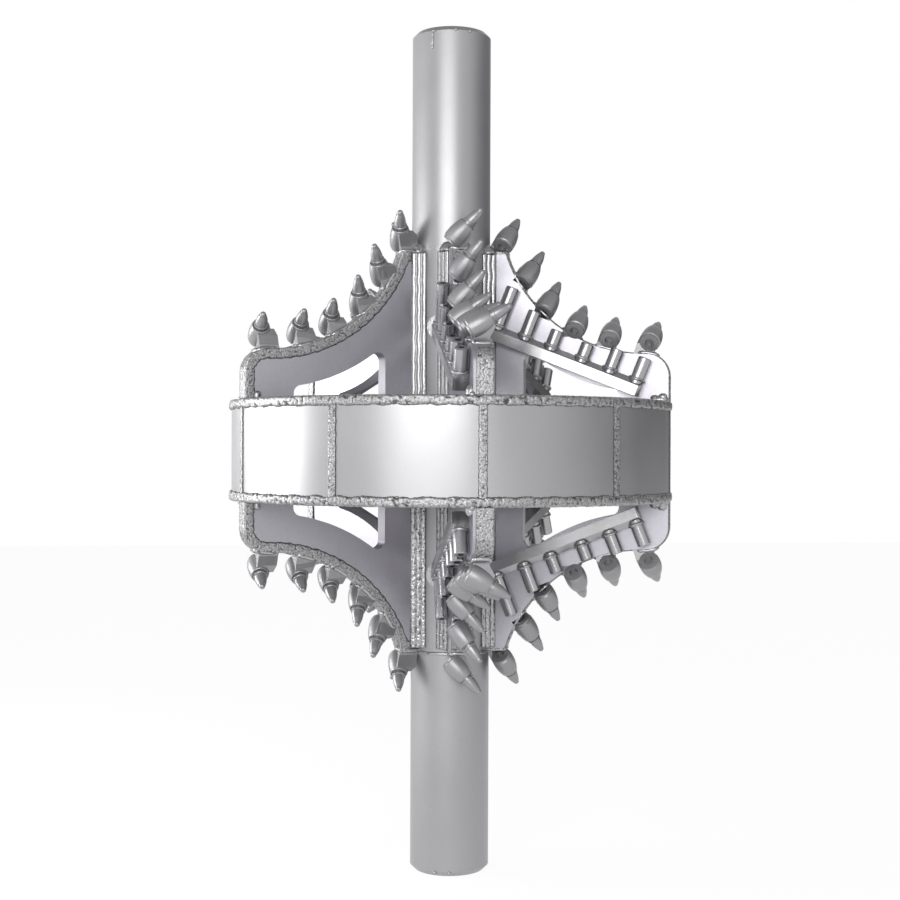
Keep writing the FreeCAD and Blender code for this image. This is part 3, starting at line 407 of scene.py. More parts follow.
def edge_height(sizes, radius):
    """Height of the wing's edge at each radius: flat at the top, then the sweep's centre less the
    square root of its radius squared less the run squared, then flat, then the outer corner."""
    run = np.clip(sizes.sweep_end - radius, 0, sizes.sweep)
    sweep = sizes.shoulder + sizes.sweep - np.sqrt(sizes.sweep ** 2 - run ** 2)
    past = np.clip(radius - (sizes.reach - sizes.corner), 0, sizes.corner)
    corner = sizes.corner - np.sqrt(sizes.corner ** 2 - past ** 2)
    return np.minimum(sweep, sizes.top) - corner


def bar_of_weld(start, end, radius, sizes, seed):
    """Lumpy bar from start to end: a round outline carried along the line, its radius swelling
    with the drops and falling off at its ends."""
    start, end = np.array(start), np.array(end)
    length = np.linalg.norm(end - start)
    count = max(int(length / sizes.grid), 3) + 1
    share = np.linspace(0, 1, count)[:, None]
    origins = start + share * (end - start)
    forward = (end - start) / length
    side = np.cross(forward, (0.0, 0.0, 1.0) if abs(forward[2]) < 0.9 else (1.0, 0.0, 0.0))
    side /= np.linalg.norm(side)
    up = np.cross(side, forward)
    taper = np.sqrt(np.clip(1 - (2 * share - 1) ** 6, 0.05, 1))
    outline = squarish(14, radius, radius, 2)[None] * taper[:, None]
    points = carry(outline, origins, np.repeat(side[None], count, 0), np.repeat(up[None], count, 0))
    return lumpy(points, False, sizes.globule, sizes.globule_height * 0.7, seed)


# Materials
def add_node(tree, kind, inputs=(), **settings):
    """A node with its settings; each input takes a value, or a socket that it is linked to."""
    node = tree.nodes.new(kind)
    for name, value in settings.items():
        setattr(node, name, value)
    for name, value in dict(inputs).items():
        if isinstance(value, bpy.types.NodeSocket):
            tree.links.new(value, node.inputs[name])
        else:
            node.inputs[name].default_value = value
    return node


def per_metre(millimetres):
    """Scale of a pattern that repeats about once in so many millimetres."""
    return 1000 / millimetres


def aluminium_paint(name, colour, roughness, metallic, peel, cloud, grain=None, gap_shade=0):
    """Sprayed aluminium paint: fine flakes that shine like satin metal, with soft clouds where the
    coat is thicker. peel is (size, depth) of its orange peel, cloud (size, share) of its clouds,
    and grain (size, depth, share) of drops raised by a bump, with painted shade of that share
    between them, all in millimetres. The last argument is how much painted shade darkens the
    bottom of a gap between drops."""
    material = bpy.data.materials.new(name)
    material.use_nodes = True
    tree = material.node_tree
    shader = tree.nodes["Principled BSDF"]
    place = add_node(tree, "ShaderNodeTexCoord")
    clouds = add_node(tree, "ShaderNodeTexNoise", {
        "Vector": place.outputs["Object"], "Scale": per_metre(cloud[0]), "Detail": 4.0})
    flakes = add_node(tree, "ShaderNodeTexNoise", {
        "Vector": place.outputs["Object"], "Scale": per_metre(3.0), "Detail": 2.0})
    blend = add_node(tree, "ShaderNodeMath", {
        0: clouds.outputs["Fac"], 1: flakes.outputs["Fac"]}, operation="ADD")
    shade = add_node(tree, "ShaderNodeMapRange", {
        "Value": blend.outputs[0], "From Min": 0.6, "From Max": 1.4,
        "To Min": 1 - cloud[1], "To Max": 1 + cloud[1]})
    tone = add_node(tree, "ShaderNodeVectorMath", {
        0: tuple(colour[:3]), "Scale": shade.outputs["Result"]}, operation="SCALE")
    gloss = add_node(tree, "ShaderNodeMapRange", {
        "Value": clouds.outputs["Fac"], "From Min": 0.3, "From Max": 0.7,
        "To Min": roughness - 0.05, "To Max": roughness + 0.05})
    tree.links.new(gloss.outputs["Result"], shader.inputs["Roughness"])
    shader.inputs["Metallic"].default_value = metallic
    skin = add_node(tree, "ShaderNodeTexNoise", {
        "Vector": place.outputs["Object"], "Scale": per_metre(peel[0]), "Detail": 2.0})
    bump = add_node(tree, "ShaderNodeBump", {
        "Height": skin.outputs["Fac"], "Distance": peel[1] * MM, "Strength": 1.0})
    if grain:
        drops = add_node(tree, "ShaderNodeTexVoronoi", {
            "Vector": place.outputs["Object"], "Scale": per_metre(grain[0])}, feature="SMOOTH_F1")
        bump = add_node(tree, "ShaderNodeBump", {
            "Height": drops.outputs["Distance"], "Distance": grain[1] * MM, "Strength": 1.0,
            "Normal": bump.outputs["Normal"]}, invert=True)
        # Painted shade: the colour darkens towards the edges between the drops of the grain
        between = add_node(tree, "ShaderNodeMapRange", {
            "Value": drops.outputs["Distance"], "From Min": 0.3, "From Max": 0.65,
            "To Min": 1.0, "To Max": 1 - grain[2]})
        tone = add_node(tree, "ShaderNodeVectorMath", {
            0: tone.outputs["Vector"], "Scale": between.outputs["Result"]}, operation="SCALE")
    # Painted shade: the colour darkens where the mesh's gap attribute says a point lies deep
    # between drops
    if gap_shade:
        gap = add_node(tree, "ShaderNodeAttribute", attribute_name="gap")
        kept = add_node(tree, "ShaderNodeMapRange", {
            "Value": gap.outputs["Fac"], "From Min": 0.1, "To Min": 1.0, "To Max": 1 - gap_shade})
        tone = add_node(tree, "ShaderNodeVectorMath", {
            0: tone.outputs["Vector"], "Scale": kept.outputs["Result"]}, operation="SCALE")
    tree.links.new(tone.outputs["Vector"], shader.inputs["Base Color"])
    tree.links.new(bump.outputs["Normal"], shader.inputs["Normal"])
    return material


def paint_on_turned_steel(colours):
    """Mandrel: the coat lies on a turned surface, so it is the smoothest of all."""
    return aluminium_paint(
        "paint_on_turned_steel", colours.silver, 0.40, 0.75, (2.5, 0.03), (160, 0.06))


def paint_on_rolled_plate(colours):
    """Wings: hot-rolled plate leaves faint pits, with a trace of painted shade between them, and a
    slightly violet coat.
    """
    return aluminium_paint(
        "paint_on_rolled_plate", colours.plate, 0.38, 0.75, (2.5, 0.06), (90, 0.08),
        (9, 0.05, 0.03))


def paint_on_curved_plate(colours):
    """Ring: plate rolled to a curve, sprayed thick, with a wide soft sheen."""
    return aluminium_paint(
        "paint_on_curved_plate", colours.silver, 0.38, 0.80, (2.5, 0.03), (200, 0.05))


def paint_on_hardfacing(colours):
    """Hardfacing: drops of carbide and matrix, so every crest glints, with painted shade in every
    gap.
    """
    return aluminium_paint(
        "paint_on_hardfacing", colours.bead, 0.42, 0.75, (1.5, 0.10), (30, 0.10),
        (3.0, 0.85, 0.5), 0.8)


def paint_on_weld(colours):
    """Weld beads: close ripples under the coat, with painted shade between the drops and ripples.
    """
    return aluminium_paint(
        "paint_on_weld", colours.bead, 0.30, 0.85, (1.5, 0.08), (30, 0.08), (4, 0.3, 0.15), 0.7)


def paint_on_forging(colours):
    """Holders: forged and blasted steel under a thin coat, with a tight satin highlight."""
    return aluminium_paint("paint_on_forging", colours.forged, 0.40, 0.6, (1.8, 0.04), (40, 0.08))


def paint_on_pick(colours):
    """Picks: a thin glossy coat on turned steel and carbide."""
    return aluminium_paint("paint_on_pick", colours.forged, 0.36, 0.6, (1.5, 0.02), (25, 0.08))


def bare_spring_steel(colours):
    """Retaining sleeves: rolled spring steel, left bare in the bore."""
    return aluminium_paint("bare_spring_steel", colours.spring, 0.35, 1.0, (1.0, 0.01), (15, 0.05))


def paint_on_bar(colours):
    """Manifolds: cold-drawn bar and tube with a glossy even coat."""
    return aluminium_paint("paint_on_bar", colours.silver, 0.22, 0.9, (2.2, 0.04), (60, 0.06))


FINISHES = {
    "mandrel_paint": paint_on_turned_steel,
    "wing_paint": paint_on_rolled_plate,
    "ring_paint": paint_on_curved_plate,
    "hardfacing": paint_on_hardfacing,
    "weld_metal": paint_on_weld,
    "pick_steel": paint_on_pick,
    "holder_steel": paint_on_forging,
    "sleeve_spring_steel": bare_spring_steel,
    "manifold_paint": paint_on_bar,
}


def finish_of(slot):
    """The material of a slot, made once."""
    make = FINISHES[slot]
    made = bpy.data.materials.get(make.__name__)
    return made or make(bpy.context.scene.reamer_colours)


class PaintFrame(Operator):
    """Give every CAD node the paint of its slot"""

    bl_idname = "reamer.paint_frame"
    bl_label = "Paint the frame"

    def execute(self, context):
        for node, slot in node_slots.items():
            mesh = frame["nodes"][node].data
            mesh.materials.clear()
            mesh.materials.append(finish_of(slot))
        return {"FINISHED"}


# Hardfacing
class AddRimBeads(Operator):
    """Lumpy beads over the corners of both rims"""

    bl_idname = "reamer.add_rim_beads"
    bl_label = "Rim beads"

    def execute(self, context):
        beads = context.scene.reamer_beads
        half_width = 11.5 * MM
        half_height = 9.0 * MM
        radius = BEAD_RADIUS - half_width - beads.globule_height * 1.1
        height = BEAD_TOP - half_height - beads.globule_height * 0.5
        length = WHOLE_TURN * radius
        run = np.linspace(0, length, int(length / beads.grid), endpoint=False)
        angle = run / radius
        outwards = np.stack([np.cos(angle), np.sin(angle), np.zeros_like(angle)], axis=-1)
        upwards = np.zeros_like(outwards)
        upwards[:, 2] = 1
        outline = squarish(32, half_width, half_height)
        # Painted shade: a dark line along each bead's border towards the ring's middle, where it
        # meets the plate
        border = np.clip(-outline[:, 1] / half_height * 4 - 3, 0, 1)
        sheets = []
        for half in SIDES:
            origins = outwards * radius + [0, 0, MIDDLE + half * height]
            sway = wander(run, 0.04, 5 + half, length)[:, None]
            ragged = np.repeat(outline[None], len(run), axis=0)
            ragged[..., 1] -= np.clip(-outline[:, 1], 0, None) * 0.25 * sway
            ragged[..., 1] *= half
            surface = carry(ragged, origins, outwards, upwards)
            sheets.append(lumpy(
                surface, True, beads.globule, beads.globule_height, 11 + half, border))
        make_piece("rim_beads", sheets, "hardfacing", ["rim_hardfacing"])
        return {"FINISHED"}


class AddRingStrips(Operator):
    """Upright hardfaced strips on the outside of the ring"""

    bl_idname = "reamer.add_ring_strips"
    bl_label = "Ring strips"

    def execute(self, context):
        beads = context.scene.reamer_beads
        radius = STRIP_RADIUS - 3 * MM
        half_width = 8.5 * MM
        rise = line_steps(-STRIP_TOP - 3 * MM, STRIP_TOP + 3 * MM, beads.grid * 0.8)
        narrow = squarish(24, 2.4 * MM, half_width)
        # Painted shade: a dark line down both sides of each strip
        border = np.clip(np.abs(narrow[:, 1]) / half_width * 6 - 5, 0, 1)
        sheets = []
        for strip in range(STRIP_COUNT):
            angle = WHOLE_TURN * (strip / STRIP_COUNT - 0.25)
            outwards = np.array([math.cos(angle), math.sin(angle), 0.0])
            sideways = np.array([-math.sin(angle), math.cos(angle), 0.0])
            origins = outwards * radius + np.stack([rise * 0, rise * 0, rise + MIDDLE], axis=-1)
            outline = np.repeat(narrow[None], len(rise), axis=0)
            outline[..., 1] *= 1 + 0.12 * wander(rise, 0.02, strip)[:, None]
            ways = np.repeat(outwards[None], len(rise), 0), np.repeat(sideways[None], len(rise), 0)
            surface = carry(outline, origins, *ways)
            sheets.append(lumpy(
                surface, False, beads.grain, beads.grain_height, 40 + strip, border))
        make_piece("ring_strips", sheets, "hardfacing", ["ring_wear_strips"])
        return {"FINISHED"}


class AddEdgeHardfacing(Operator):
    """Lumpy skin over the swept edge, the outer edge and the leading face of each wing"""

    bl_idname = "reamer.add_edge_hardfacing"
    bl_label = "Edge hardfacing"

    def execute(self, context):
        sizes = context.scene.reamer_wings
        beads = context.scene.reamer_beads
        face = sizes.thickness / 2
        edge, ways = wing_edge(sizes, TUBE_RADIUS + sizes.weld_leg, BEAD_TOP, beads.grid)
        run = np.concatenate([[0], np.cumsum(np.linalg.norm(np.diff(edge, axis=0), axis=1))])
        band = -sizes.band
        # Corners of the skin's outline: out from the edge, across the plate, depth in a gap, which
        # lays painted shade along the band's borders
        rows = spread([
            (-3 * MM, -face + 6 * MM, 1, 1), (2.4 * MM, -face + 7 * MM, 0.3, 1),
            (2.8 * MM, 0, 0, 1), (2.8 * MM, face - 1 * MM, 0, 1), (2 * MM, face + 2.5 * MM, 0, 1),
            (-1 * MM, face + 2.8 * MM, 0, 1), (band + 4 * MM, face + 2.6 * MM, 0, 1),
            (band + 1 * MM, face + 2 * MM, 1, 1), (band, face - 1 * MM, 1, 0.2),
            (-12 * MM, face - 5 * MM, 0, 0.2)], 36)
        outline = np.repeat(rows[None, :, :2], len(edge), axis=0)
        depth = np.clip(-outline[..., 0], 0, None)
        outline[..., 0] -= depth * 0.07 * wander(run, 0.03, 3)[:, None]
        origins = np.stack([edge[:, 0], edge[:, 0] * 0, edge[:, 1]], axis=-1)
        outwards = np.stack([ways[:, 0], ways[:, 0] * 0, ways[:, 1]], axis=-1)
        across = np.repeat([[0.0, 1.0, 0.0]], len(edge), axis=0)
        surface = carry(outline, origins, outwards, across)
        sheets = []
        for number in WING_NUMBERS:
            for half in SIDES:
                lumps = lumpy(
                    surface, False, beads.grain, beads.grain_height, 60 + number * 2 + half,
                    rows[:, 2])
                sheets.append(on_wing(lumps, number, half))
        make_piece("edge_hardfacing", sheets, "hardfacing", ["wing_edge_hardfacing"])
        return {"FINISHED"}


# Welds
def root_weld(sizes, beads, seed, side):
    """Fillet along a wing's root, side by side passes on the slant between tube and wing. A pass
    swells as the sine of its share of the slant. Ripples run across it, fine and even above the
    ring and coarse below it."""
    face = sizes.thickness / 2
    toe = face + sizes.weld_leg
    on_tube = np.array([math.sqrt(TUBE_RADIUS ** 2 - toe ** 2), toe])
    on_face = np.array([math.sqrt(TUBE_RADIUS ** 2 - face ** 2) + sizes.weld_leg, face])
    slant = on_face - on_tube
    outwards = np.array([-slant[1], slant[0]]) / np.linalg.norm(slant)
    rise = line_steps(-sizes.top + 4 * MM, sizes.top - 1 * MM, beads.grid)[:, None]
    coarse = np.clip(0.5 - rise / (200 * MM), 0.08, 1)
    share = np.linspace(0, 1, 22)
    lean = 0.04 * wander(rise, 0.05, seed) * np.sin(share * math.pi)
    passes = np.abs(np.sin((share + lean) * math.pi * beads.passes))
    turn = rise / beads.ripple + np.floor(share * (beads.passes - 0.01)) * 0.4
    ripple = 1 - 0.5 * coarse * np.abs(np.sin(turn * math.pi + passes))
    swell = (0.8 + 2.8 * passes * ripple) * MM
    points = on_tube + share[None, :, None] * slant + swell[..., None] * outwards
    inside = on_face - [sizes.weld_leg, 2 * MM]
    points = np.concatenate([points, np.tile(inside, (len(rise), 1, 1))], axis=1)
    height = np.repeat(rise, points.shape[1], axis=1)
    surface = np.stack([points[..., 0], points[..., 1] * side, height], axis=-1)
    sheet = lumpy(surface, False, beads.grain, 1.6 * MM * coarse, seed)
    # Painted shade: the furrows between passes darken all along, the gaps between drops only where
    # the ripples are coarse
    between = np.pad(np.clip(1 - 2.5 * passes, 0, 1), ((0, 0), (0, 1)))
    return sheet._replace(gap=np.maximum(sheet.gap * coarse, between))


def weld_return(sizes, beads, seed):
    """Fillet laid round the tube over the top of a wing. Its outline is a bulging slope from the
    tube to the wing: one leg times a power of the cosine, the other the same power of the sine."""
    leg = sizes.weld_leg
    half_angle = (sizes.thickness / 2 + 0.75 * leg) / TUBE_RADIUS
    angle = line_steps(-half_angle, half_angle, beads.grid / TUBE_RADIUS)
    quarter = np.linspace(0, math.pi / 2, 14)
    slope = np.stack([np.cos(quarter) ** 1.4, np.sin(quarter) ** 1.4], axis=-1) * leg
    outline = np.concatenate([slope, [(-2 * MM, -1 * MM)]])
    taper = np.sqrt(np.clip(1 - (angle / half_angle) ** 6, 0.1, 1))
    outwards = np.stack([np.cos(angle), np.sin(angle), angle * 0], axis=-1)
    upwards = np.repeat([[0.0, 0.0, 1.0]], len(angle), axis=0)
    origins = outwards * TUBE_RADIUS + [0, 0, sizes.top]
    surface = carry(outline[None] * taper[:, None, None], origins, outwards, upwards)
    return lumpy(surface, False, beads.globule, beads.globule_height * 0.8, seed)


class AddRootWelds(Operator):
    """Fillet welds of several rippled passes where the wings meet the tube"""

    bl_idname = "reamer.add_root_welds"
    bl_label = "Root welds"

    def execute(self, context):
        sizes = context.scene.reamer_wings
        beads = context.scene.reamer_beads
        sheets = []
        for number in WING_NUMBERS:
            for side in SIDES:
                weld = root_weld(sizes, beads, 80 + number * 2 + side, side)
                sheets.append(on_wing(weld, number))
            sheets.append(on_wing(weld_return(sizes, beads, 100 + number), number))
        make_piece("root_welds", sheets, "weld_metal", ["wing_root_welds"])
        return {"FINISHED"}


def closed_bead(centres, sideways, out, radius, sizes, seed):
    """Lumpy bead along a closed line of centres: a circle of the given radius, in the plane of the
    line's own sideways directions and out, is carried round it."""
    outwards = np.repeat(out[None], len(centres), axis=0)
    surface = carry(squarish(8, radius, radius, 2), centres, sideways, outwards)
    return lumpy(surface, True, sizes.globule, sizes.globule_height * 0.5, seed)


class AddSeamBead(Operator):
    """Rippled bead over the weld between the tube and the lower sub"""

    bl_idname = "reamer.add_seam_bead"
    bl_label = "Seam bead"

    def execute(self, context):
        beads = context.scene.reamer_beads
        radius = 4 * MM
        count = int(WHOLE_TURN * TUBE_RADIUS / beads.grid)
        angle = np.linspace(0, WHOLE_TURN, count, endpoint=False)
        outwards = np.stack([np.cos(angle), np.sin(angle), np.zeros_like(angle)], axis=-1)
        centres = outwards * (TUBE_RADIUS - 2.5 * MM) + [0, 0, MIDDLE - SEAM_HEIGHT + radius]
        bead = closed_bead(centres, outwards, np.array([0.0, 0.0, 1.0]), radius, beads, 7)
        make_piece("seam_bead", [bead], "weld_metal")
        return {"FINISHED"}


class AddNozzleCollars(Operator):
    """A weld bead round the foot of every nozzle tube"""

    bl_idname = "reamer.add_nozzle_collars"
    bl_label = "Nozzle collars"

    def execute(self, context):
        manifold = context.scene.reamer_manifolds
        beads = context.scene.reamer_beads
        slope = manifold.slope
        along = np.array([math.cos(slope), 0.0, -math.sin(slope)])
        into_wing = np.array([0.0, 1.0, 0.0])
        to_nozzles = np.array([math.sin(slope), 0.0, math.cos(slope)])
        face = context.scene.reamer_wings.thickness / 2
        start = np.array([TUBE_RADIUS, -face - manifold.depth / 2, manifold.start])
        start += to_nozzles * (manifold.height / 2 + 0.5 * MM)
        round_way = squarish(24, 1, 1, 2)
        sideways = round_way[:, :1] * along + round_way[:, 1:] * into_wing
        sheets = []
        for number in WING_NUMBERS:
            for half in SIDES:
                for index, place in enumerate(NOZZLE_PLACES):
                    centres = start + along * place + sideways * (manifold.nozzle_radius + 0.5 * MM)
                    bead = closed_bead(
                        centres, sideways, to_nozzles, 2.7 * MM, beads,
                        200 + number * 12 + half * 6 + index)
                    sheets.append(on_wing(bead, number, half))
        make_piece("nozzle_collars", sheets, "weld_metal")
        return {"FINISHED"}


def holder_bead(sizes, beads, seat, seed):
    """Bead where a holder's foot meets the wing's edge. The foot stands along the pick, which leans
    from the edge's own upright: a point of its outline meets the edge at its distance from the
    pick's axis less the lift times the sine of that lean, over the cosine of the lean."""
    radius, lift, rake = seat
    height = edge_height(sizes, np.array([radius, radius + MM]))
    along = np.array([MM, height[1] - height[0]])
    along /= np.linalg.norm(along)
    lean = math.radians(rake) + math.atan2(along[1], along[0])
    foot = squarish(44, 21 * MM, 16.5 * MM, 6) + [-6 * MM, 2.5 * MM]
    ways = outline_normals(foot)
    run = (foot[:, 0] - lift * math.sin(lean)) / math.cos(lean)
    across = radius + run * along[0]
    centres = np.stack([across, foot[:, 1], edge_height(sizes, across) + 3 * MM], axis=-1)
    sideways = np.stack([ways[:, 0] * along[0], ways[:, 1], ways[:, 0] * along[1]], axis=-1)
    out = np.array([-along[1], 0.0, along[0]])
    return closed_bead(centres, sideways, out, 4.5 * MM, beads, seed)


class AddHolderWelds(Operator):
    """A weld bead round the foot of every pick holder"""

    bl_idname = "reamer.add_holder_welds"
    bl_label = "Holder welds"

    def execute(self, context):
        sizes = context.scene.reamer_wings
        beads = context.scene.reamer_beads
        sheets = []
        for number in WING_NUMBERS:
            for half in SIDES:
                for index, seat in enumerate(HOLDER_SEATS):
                    bead = holder_bead(sizes, beads, seat, 400 + number * 12 + half * 6 + index)
                    sheets.append(on_wing(bead, number, half))
        make_piece("holder_welds", sheets, "weld_metal")
        return {"FINISHED"}


class AddWingJointWelds(Operator):
    """Welds between wings and ring, with lumps where a wing's outer edge crosses the rim"""

    bl_idname = "reamer.add_wing_joint_welds"
    bl_label = "Wing joint welds"

    def execute(self, context):
        sizes = context.scene.reamer_wings
        beads = context.scene.reamer_beads
        face = sizes.thickness / 2
        inside = BEAD_RADIUS - 28 * MM
        rim = BEAD_TOP
        # Each bar's start, end and radius in millimetres; the first two run down behind the ring
        bars = (
            ((inside, face + 1 * MM, 8 * MM - rim), (inside, face + 1 * MM, rim - 8 * MM), 7),
            ((inside, -face - 1 * MM, 8 * MM - rim), (inside, -face - 1 * MM, rim - 8 * MM), 7),
            ((inside + 2 * MM, -face - 2 * MM, rim), (inside + 22 * MM, -face - 2 * MM, rim), 6),
            ((0.473, face + 1 * MM, rim - 4 * MM), (0.473, face + 1 * MM, rim + 16 * MM), 7),
            ((0.468, -face - 2 * MM, rim - 10 * MM), (0.470, -face - 1 * MM, rim + 14 * MM), 9),
            ((0.487, -face - 3 * MM, rim - 24 * MM), (0.486, -face - 2 * MM, rim + 18 * MM), 10),
            ((0.462, -face - 4 * MM, rim + 3 * MM), (0.494, -face - 4 * MM, rim + 5 * MM), 8),
        )
        sheets = []
        for number in WING_NUMBERS:
            for index, (start, end, radius) in enumerate(bars):
                halves = SIDES if index > 1 else SIDES[:1]
                for half in halves:
                    seed = 600 + number * 12 + index * half
                    bar = bar_of_weld(start, end, radius * MM, beads, seed)
                    sheets.append(on_wing(bar, number, half))
        make_piece("wing_joint_welds", sheets, "weld_metal")
        return {"FINISHED"}


class AddPaintRuns(Operator):
    """Runs and drops of paint at the ends of the mandrel"""

    bl_idname = "reamer.add_paint_runs"
    bl_label = "Paint runs"

    def execute(self, context):
        beads = context.scene.reamer_beads
        # Degrees from the front towards the left, top, length and radius
        runs = (
            (36.5, OVERALL_LENGTH - 12 * MM, 40 * MM, 2.4 * MM),
            (34, OVERALL_LENGTH - 9 * MM, 6 * MM, 3.5 * MM),
            (1, OVERALL_LENGTH - 8 * MM, 5 * MM, 3.5 * MM),
            (-20, OVERALL_LENGTH - 9 * MM, 6 * MM, 3.0 * MM),
            (28, 12 * MM, 6 * MM, 3.5 * MM),
            (7, 12 * MM, 6 * MM, 3.0 * MM),
        )
        sheets = []
        for seed, (azimuth, top, length, radius) in enumerate(runs):
            angle = math.radians(azimuth)
            out = np.array([-math.sin(angle), -math.cos(angle)]) * (TUBE_RADIUS - 0.5 * MM)
            sheets.append(bar_of_weld((*out, top), (*out, top - length), radius, beads, seed))
        make_piece("paint_runs", sheets, "mandrel_paint")
        return {"FINISHED"}


# Stage
class BuildStudio(Operator):
    """Plain pale floor, soft lamps, white surroundings and the camera"""

    bl_idname = "reamer.build_studio"
    bl_label = "Studio"

    def execute(self, context):
        studio = context.scene.reamer_studio
        add_floor()
        add_room(context.scene, studio)
        add_lamps(studio)
        add_camera(context.scene, studio)
        return {"FINISHED"}


def seen_or_reflected(tree):
    """1 for rays from the camera, or that come by reflection or through glass."""
    path = add_node(tree, "ShaderNodeLightPath")
    either = add_node(tree, "ShaderNodeMath", {
        0: path.outputs["Is Camera Ray"], 1: path.outputs["Is Glossy Ray"]}, operation="MAXIMUM")
    either = add_node(tree, "ShaderNodeMath", {
        0: either.outputs[0], 1: path.outputs["Is Transmission Ray"]}, operation="MAXIMUM")
    return either.outputs[0]


def add_floor():
    """A wide plane that keeps a soft shadow: where it is seen or reflected, most of it is plain
    white, and the rest takes the light."""
    half = 12.0
    mesh = bpy.data.meshes.new("floor")
    mesh.from_pydata([(-half, -half, 0), (half, -half, 0), (half, half, 0), (-half, half, 0)], [],
                     [(0, 1, 2, 3)])
    floor = bpy.data.objects.new("floor", mesh)
    bpy.context.scene.collection.objects.link(floor)
    material = bpy.data.materials.new("white_paper")
    material.use_nodes = True
    tree = material.node_tree
    tree.nodes.remove(tree.nodes["Principled BSDF"])
    shaded = add_node(tree, "ShaderNodeBsdfDiffuse", {"Color": (0.9, 0.9, 0.9, 1)})
    white = add_node(tree, "ShaderNodeEmission", {"Color": (1, 1, 1, 1), "Strength": 1.05})
    share = add_node(tree, "ShaderNodeMath", {
        0: seen_or_reflected(tree), 1: 0.88}, operation="MULTIPLY")
    mixed = add_node(tree, "ShaderNodeMixShader", {
        "Fac": share.outputs[0], 1: shaded.outputs["BSDF"], 2: white.outputs["Emission"]})
    tree.links.new(mixed.outputs[0], tree.nodes["Material Output"].inputs["Surface"])
    mesh.materials.append(material)


def add_room(scene, studio):
    """A white background, and a greyer room that gives the soft light."""
    world = bpy.data.worlds.new("room")
    scene.world = world
    world.use_nodes = True
    tree = world.node_tree
    room = tree.nodes["Background"]
    room.inputs["Color"].default_value = (0.95, 0.96, 1.0, 1)
    room.inputs["Strength"].default_value = studio.room
    direction = add_node(tree, "ShaderNodeTexCoord")
    # Where the metal reflects less: towards an axis, from where to where along it, and what is left
    shades = (
        ((0.94, 0.34, -0.5), 0.25, 0.95, studio.dark_side),
        ((0.0, 0.0, 1.0), 0.30, 0.80, studio.ceiling))
    lit = 1.0
    for axis, start, end, rest in shades:
        towards = add_node(tree, "ShaderNodeVectorMath", {
            0: direction.outputs["Generated"], 1: axis}, operation="DOT_PRODUCT")
        dimming = add_node(tree, "ShaderNodeMapRange", {
            "Value": towards.outputs["Value"], "From Min": start, "From Max": end,
            "To Min": 1.0, "To Max": rest}, interpolation_type="SMOOTHSTEP")
        lit = add_node(tree, "ShaderNodeMath", {
            0: dimming.outputs["Result"], 1: lit}, operation="MULTIPLY").outputs[0]
    path = add_node(tree, "ShaderNodeLightPath")
    strength = add_node(tree, "ShaderNodeMath", {
        0: path.outputs["Is Glossy Ray"], 1: lit}, operation="MULTIPLY")
    strength = add_node(tree, "ShaderNodeMath", {
        0: path.outputs["Is Camera Ray"], 1: strength.outputs[0]}, operation="MAXIMUM")
    strength = add_node(tree, "ShaderNodeMath", {
        0: path.outputs["Is Transmission Ray"], 1: strength.outputs[0]}, operation="MAXIMUM")
    white = add_node(tree, "ShaderNodeBackground", {
        "Color": (1, 1, 1, 1), "Strength": strength.outputs[0]})
    mixed = add_node(tree, "ShaderNodeMixShader", {
        "Fac": seen_or_reflected(tree), 1: room.outputs[0], 2: white.outputs[0]})
    tree.links.new(mixed.outputs[0], tree.nodes["World Output"].inputs["Surface"])


def add_lamp(name, azimuth, height, distance, size, watts):
    """Soft square lamp that faces the barrel; azimuth is from the front towards the left."""
    lamp = bpy.data.lights.new(name, "AREA")
    lamp.shape = "RECTANGLE"
    lamp.size, lamp.size_y = size
    lamp.energy = watts
    holder = bpy.data.objects.new(name, lamp)
    bpy.context.scene.collection.objects.link(holder)
    angle = math.radians(azimuth)
    holder.location = (-math.sin(angle) * distance, -math.cos(angle) * distance, height)
    holder.visible_camera = False
    to_barrel = Vector((0, 0, MIDDLE)) - holder.location
    holder.rotation_euler = to_barrel.to_track_quat("-Z", "Y").to_euler()


def add_lamps(studio):
    add_lamp("front_lamp", 18, 1.7, 3.6, (2.5, 1.5), studio.front_lamp)
    add_lamp("side_lamp", 103, 1.2, 3.0, (2.2, 0.9), studio.side_lamp)


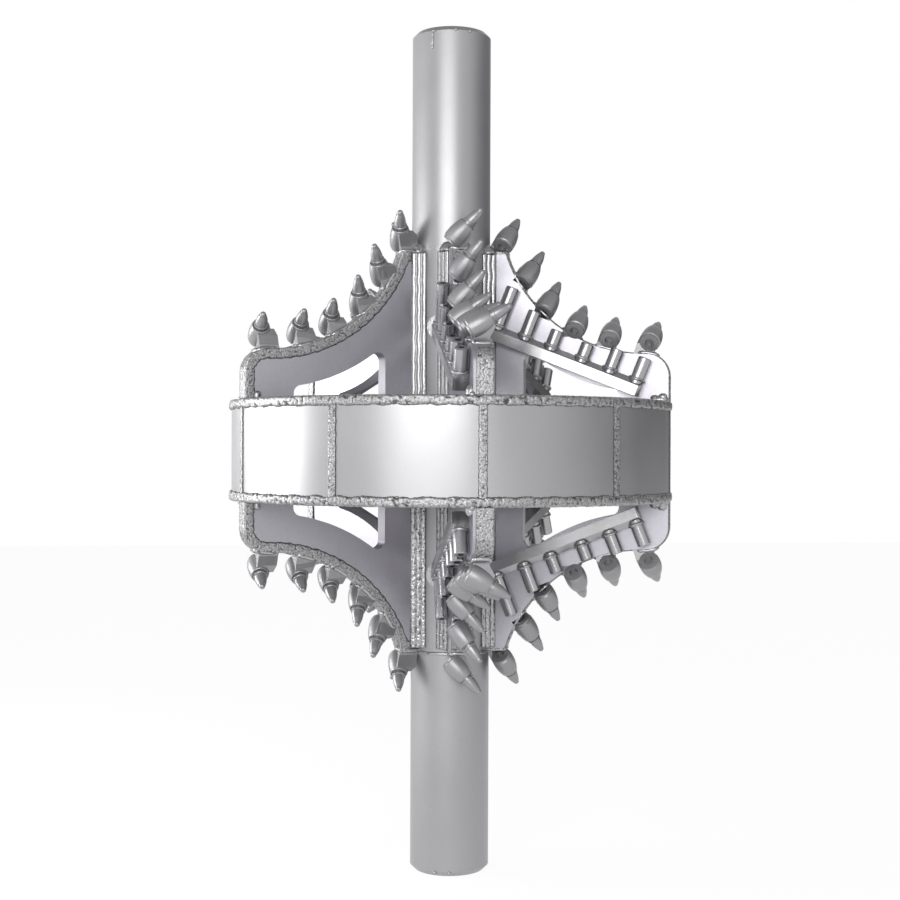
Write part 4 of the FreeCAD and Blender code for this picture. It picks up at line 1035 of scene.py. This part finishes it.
def add_camera(scene, studio):
    """The photograph's camera, level with the middle of the barrel."""
    camera = bpy.data.cameras.new("camera")
    camera.lens = studio.lens
    camera.sensor_width = 36
    camera.shift_x = -0.4 / PICTURE_WIDTH
    camera.shift_y = 1.0 / PICTURE_WIDTH
    holder = bpy.data.objects.new("camera", camera)
    scene.collection.objects.link(holder)
    back = -studio.distance
    holder.location = (math.sin(studio.azimuth) * back, math.cos(studio.azimuth) * back, MIDDLE)
    holder.rotation_euler = (math.pi / 2, -studio.roll, -studio.azimuth)
    scene.camera = holder
    scene.view_settings.view_transform = "Standard"


# Panel and registration
class ReamerPanel(Panel):
    """Lists the reamer's operators and sizes"""

    bl_idname = "VIEW3D_PT_reamer"
    bl_label = "Drilling reamer"
    bl_space_type = "VIEW_3D"
    bl_region_type = "UI"
    bl_category = "Reamer"

    def draw(self, context):
        for operator in OPERATORS:
            self.layout.operator(operator.bl_idname)
        for name, group in GROUPS.items():
            for prop in group.__annotations__:
                self.layout.prop(getattr(context.scene, name), prop)


GROUPS = {
    "reamer_wings": WingSizes,
    "reamer_manifolds": ManifoldSizes,
    "reamer_beads": BeadSizes,
    "reamer_colours": PaintColours,
    "reamer_studio": StudioLevels,
}
OPERATORS = (
    PaintFrame, AddRimBeads, AddRingStrips, AddEdgeHardfacing, AddRootWelds, AddSeamBead,
    AddNozzleCollars, AddHolderWelds, AddWingJointWelds, AddPaintRuns, BuildStudio)


def register():
    for group in GROUPS.values():
        bpy.utils.register_class(group)
    for name, group in GROUPS.items():
        setattr(bpy.types.Scene, name, PointerProperty(type=group))
    for operator in OPERATORS:
        bpy.utils.register_class(operator)
    bpy.utils.register_class(ReamerPanel)


def unregister():
    bpy.utils.unregister_class(ReamerPanel)
    for operator in reversed(OPERATORS):
        bpy.utils.unregister_class(operator)
    for name, group in GROUPS.items():
        delattr(bpy.types.Scene, name)
        bpy.utils.unregister_class(group)


def main():
    register()
    for operator in OPERATORS:
        folder, name = operator.bl_idname.split(".")
        getattr(getattr(bpy.ops, folder), name)()


if __name__ == "__main__":
    main()
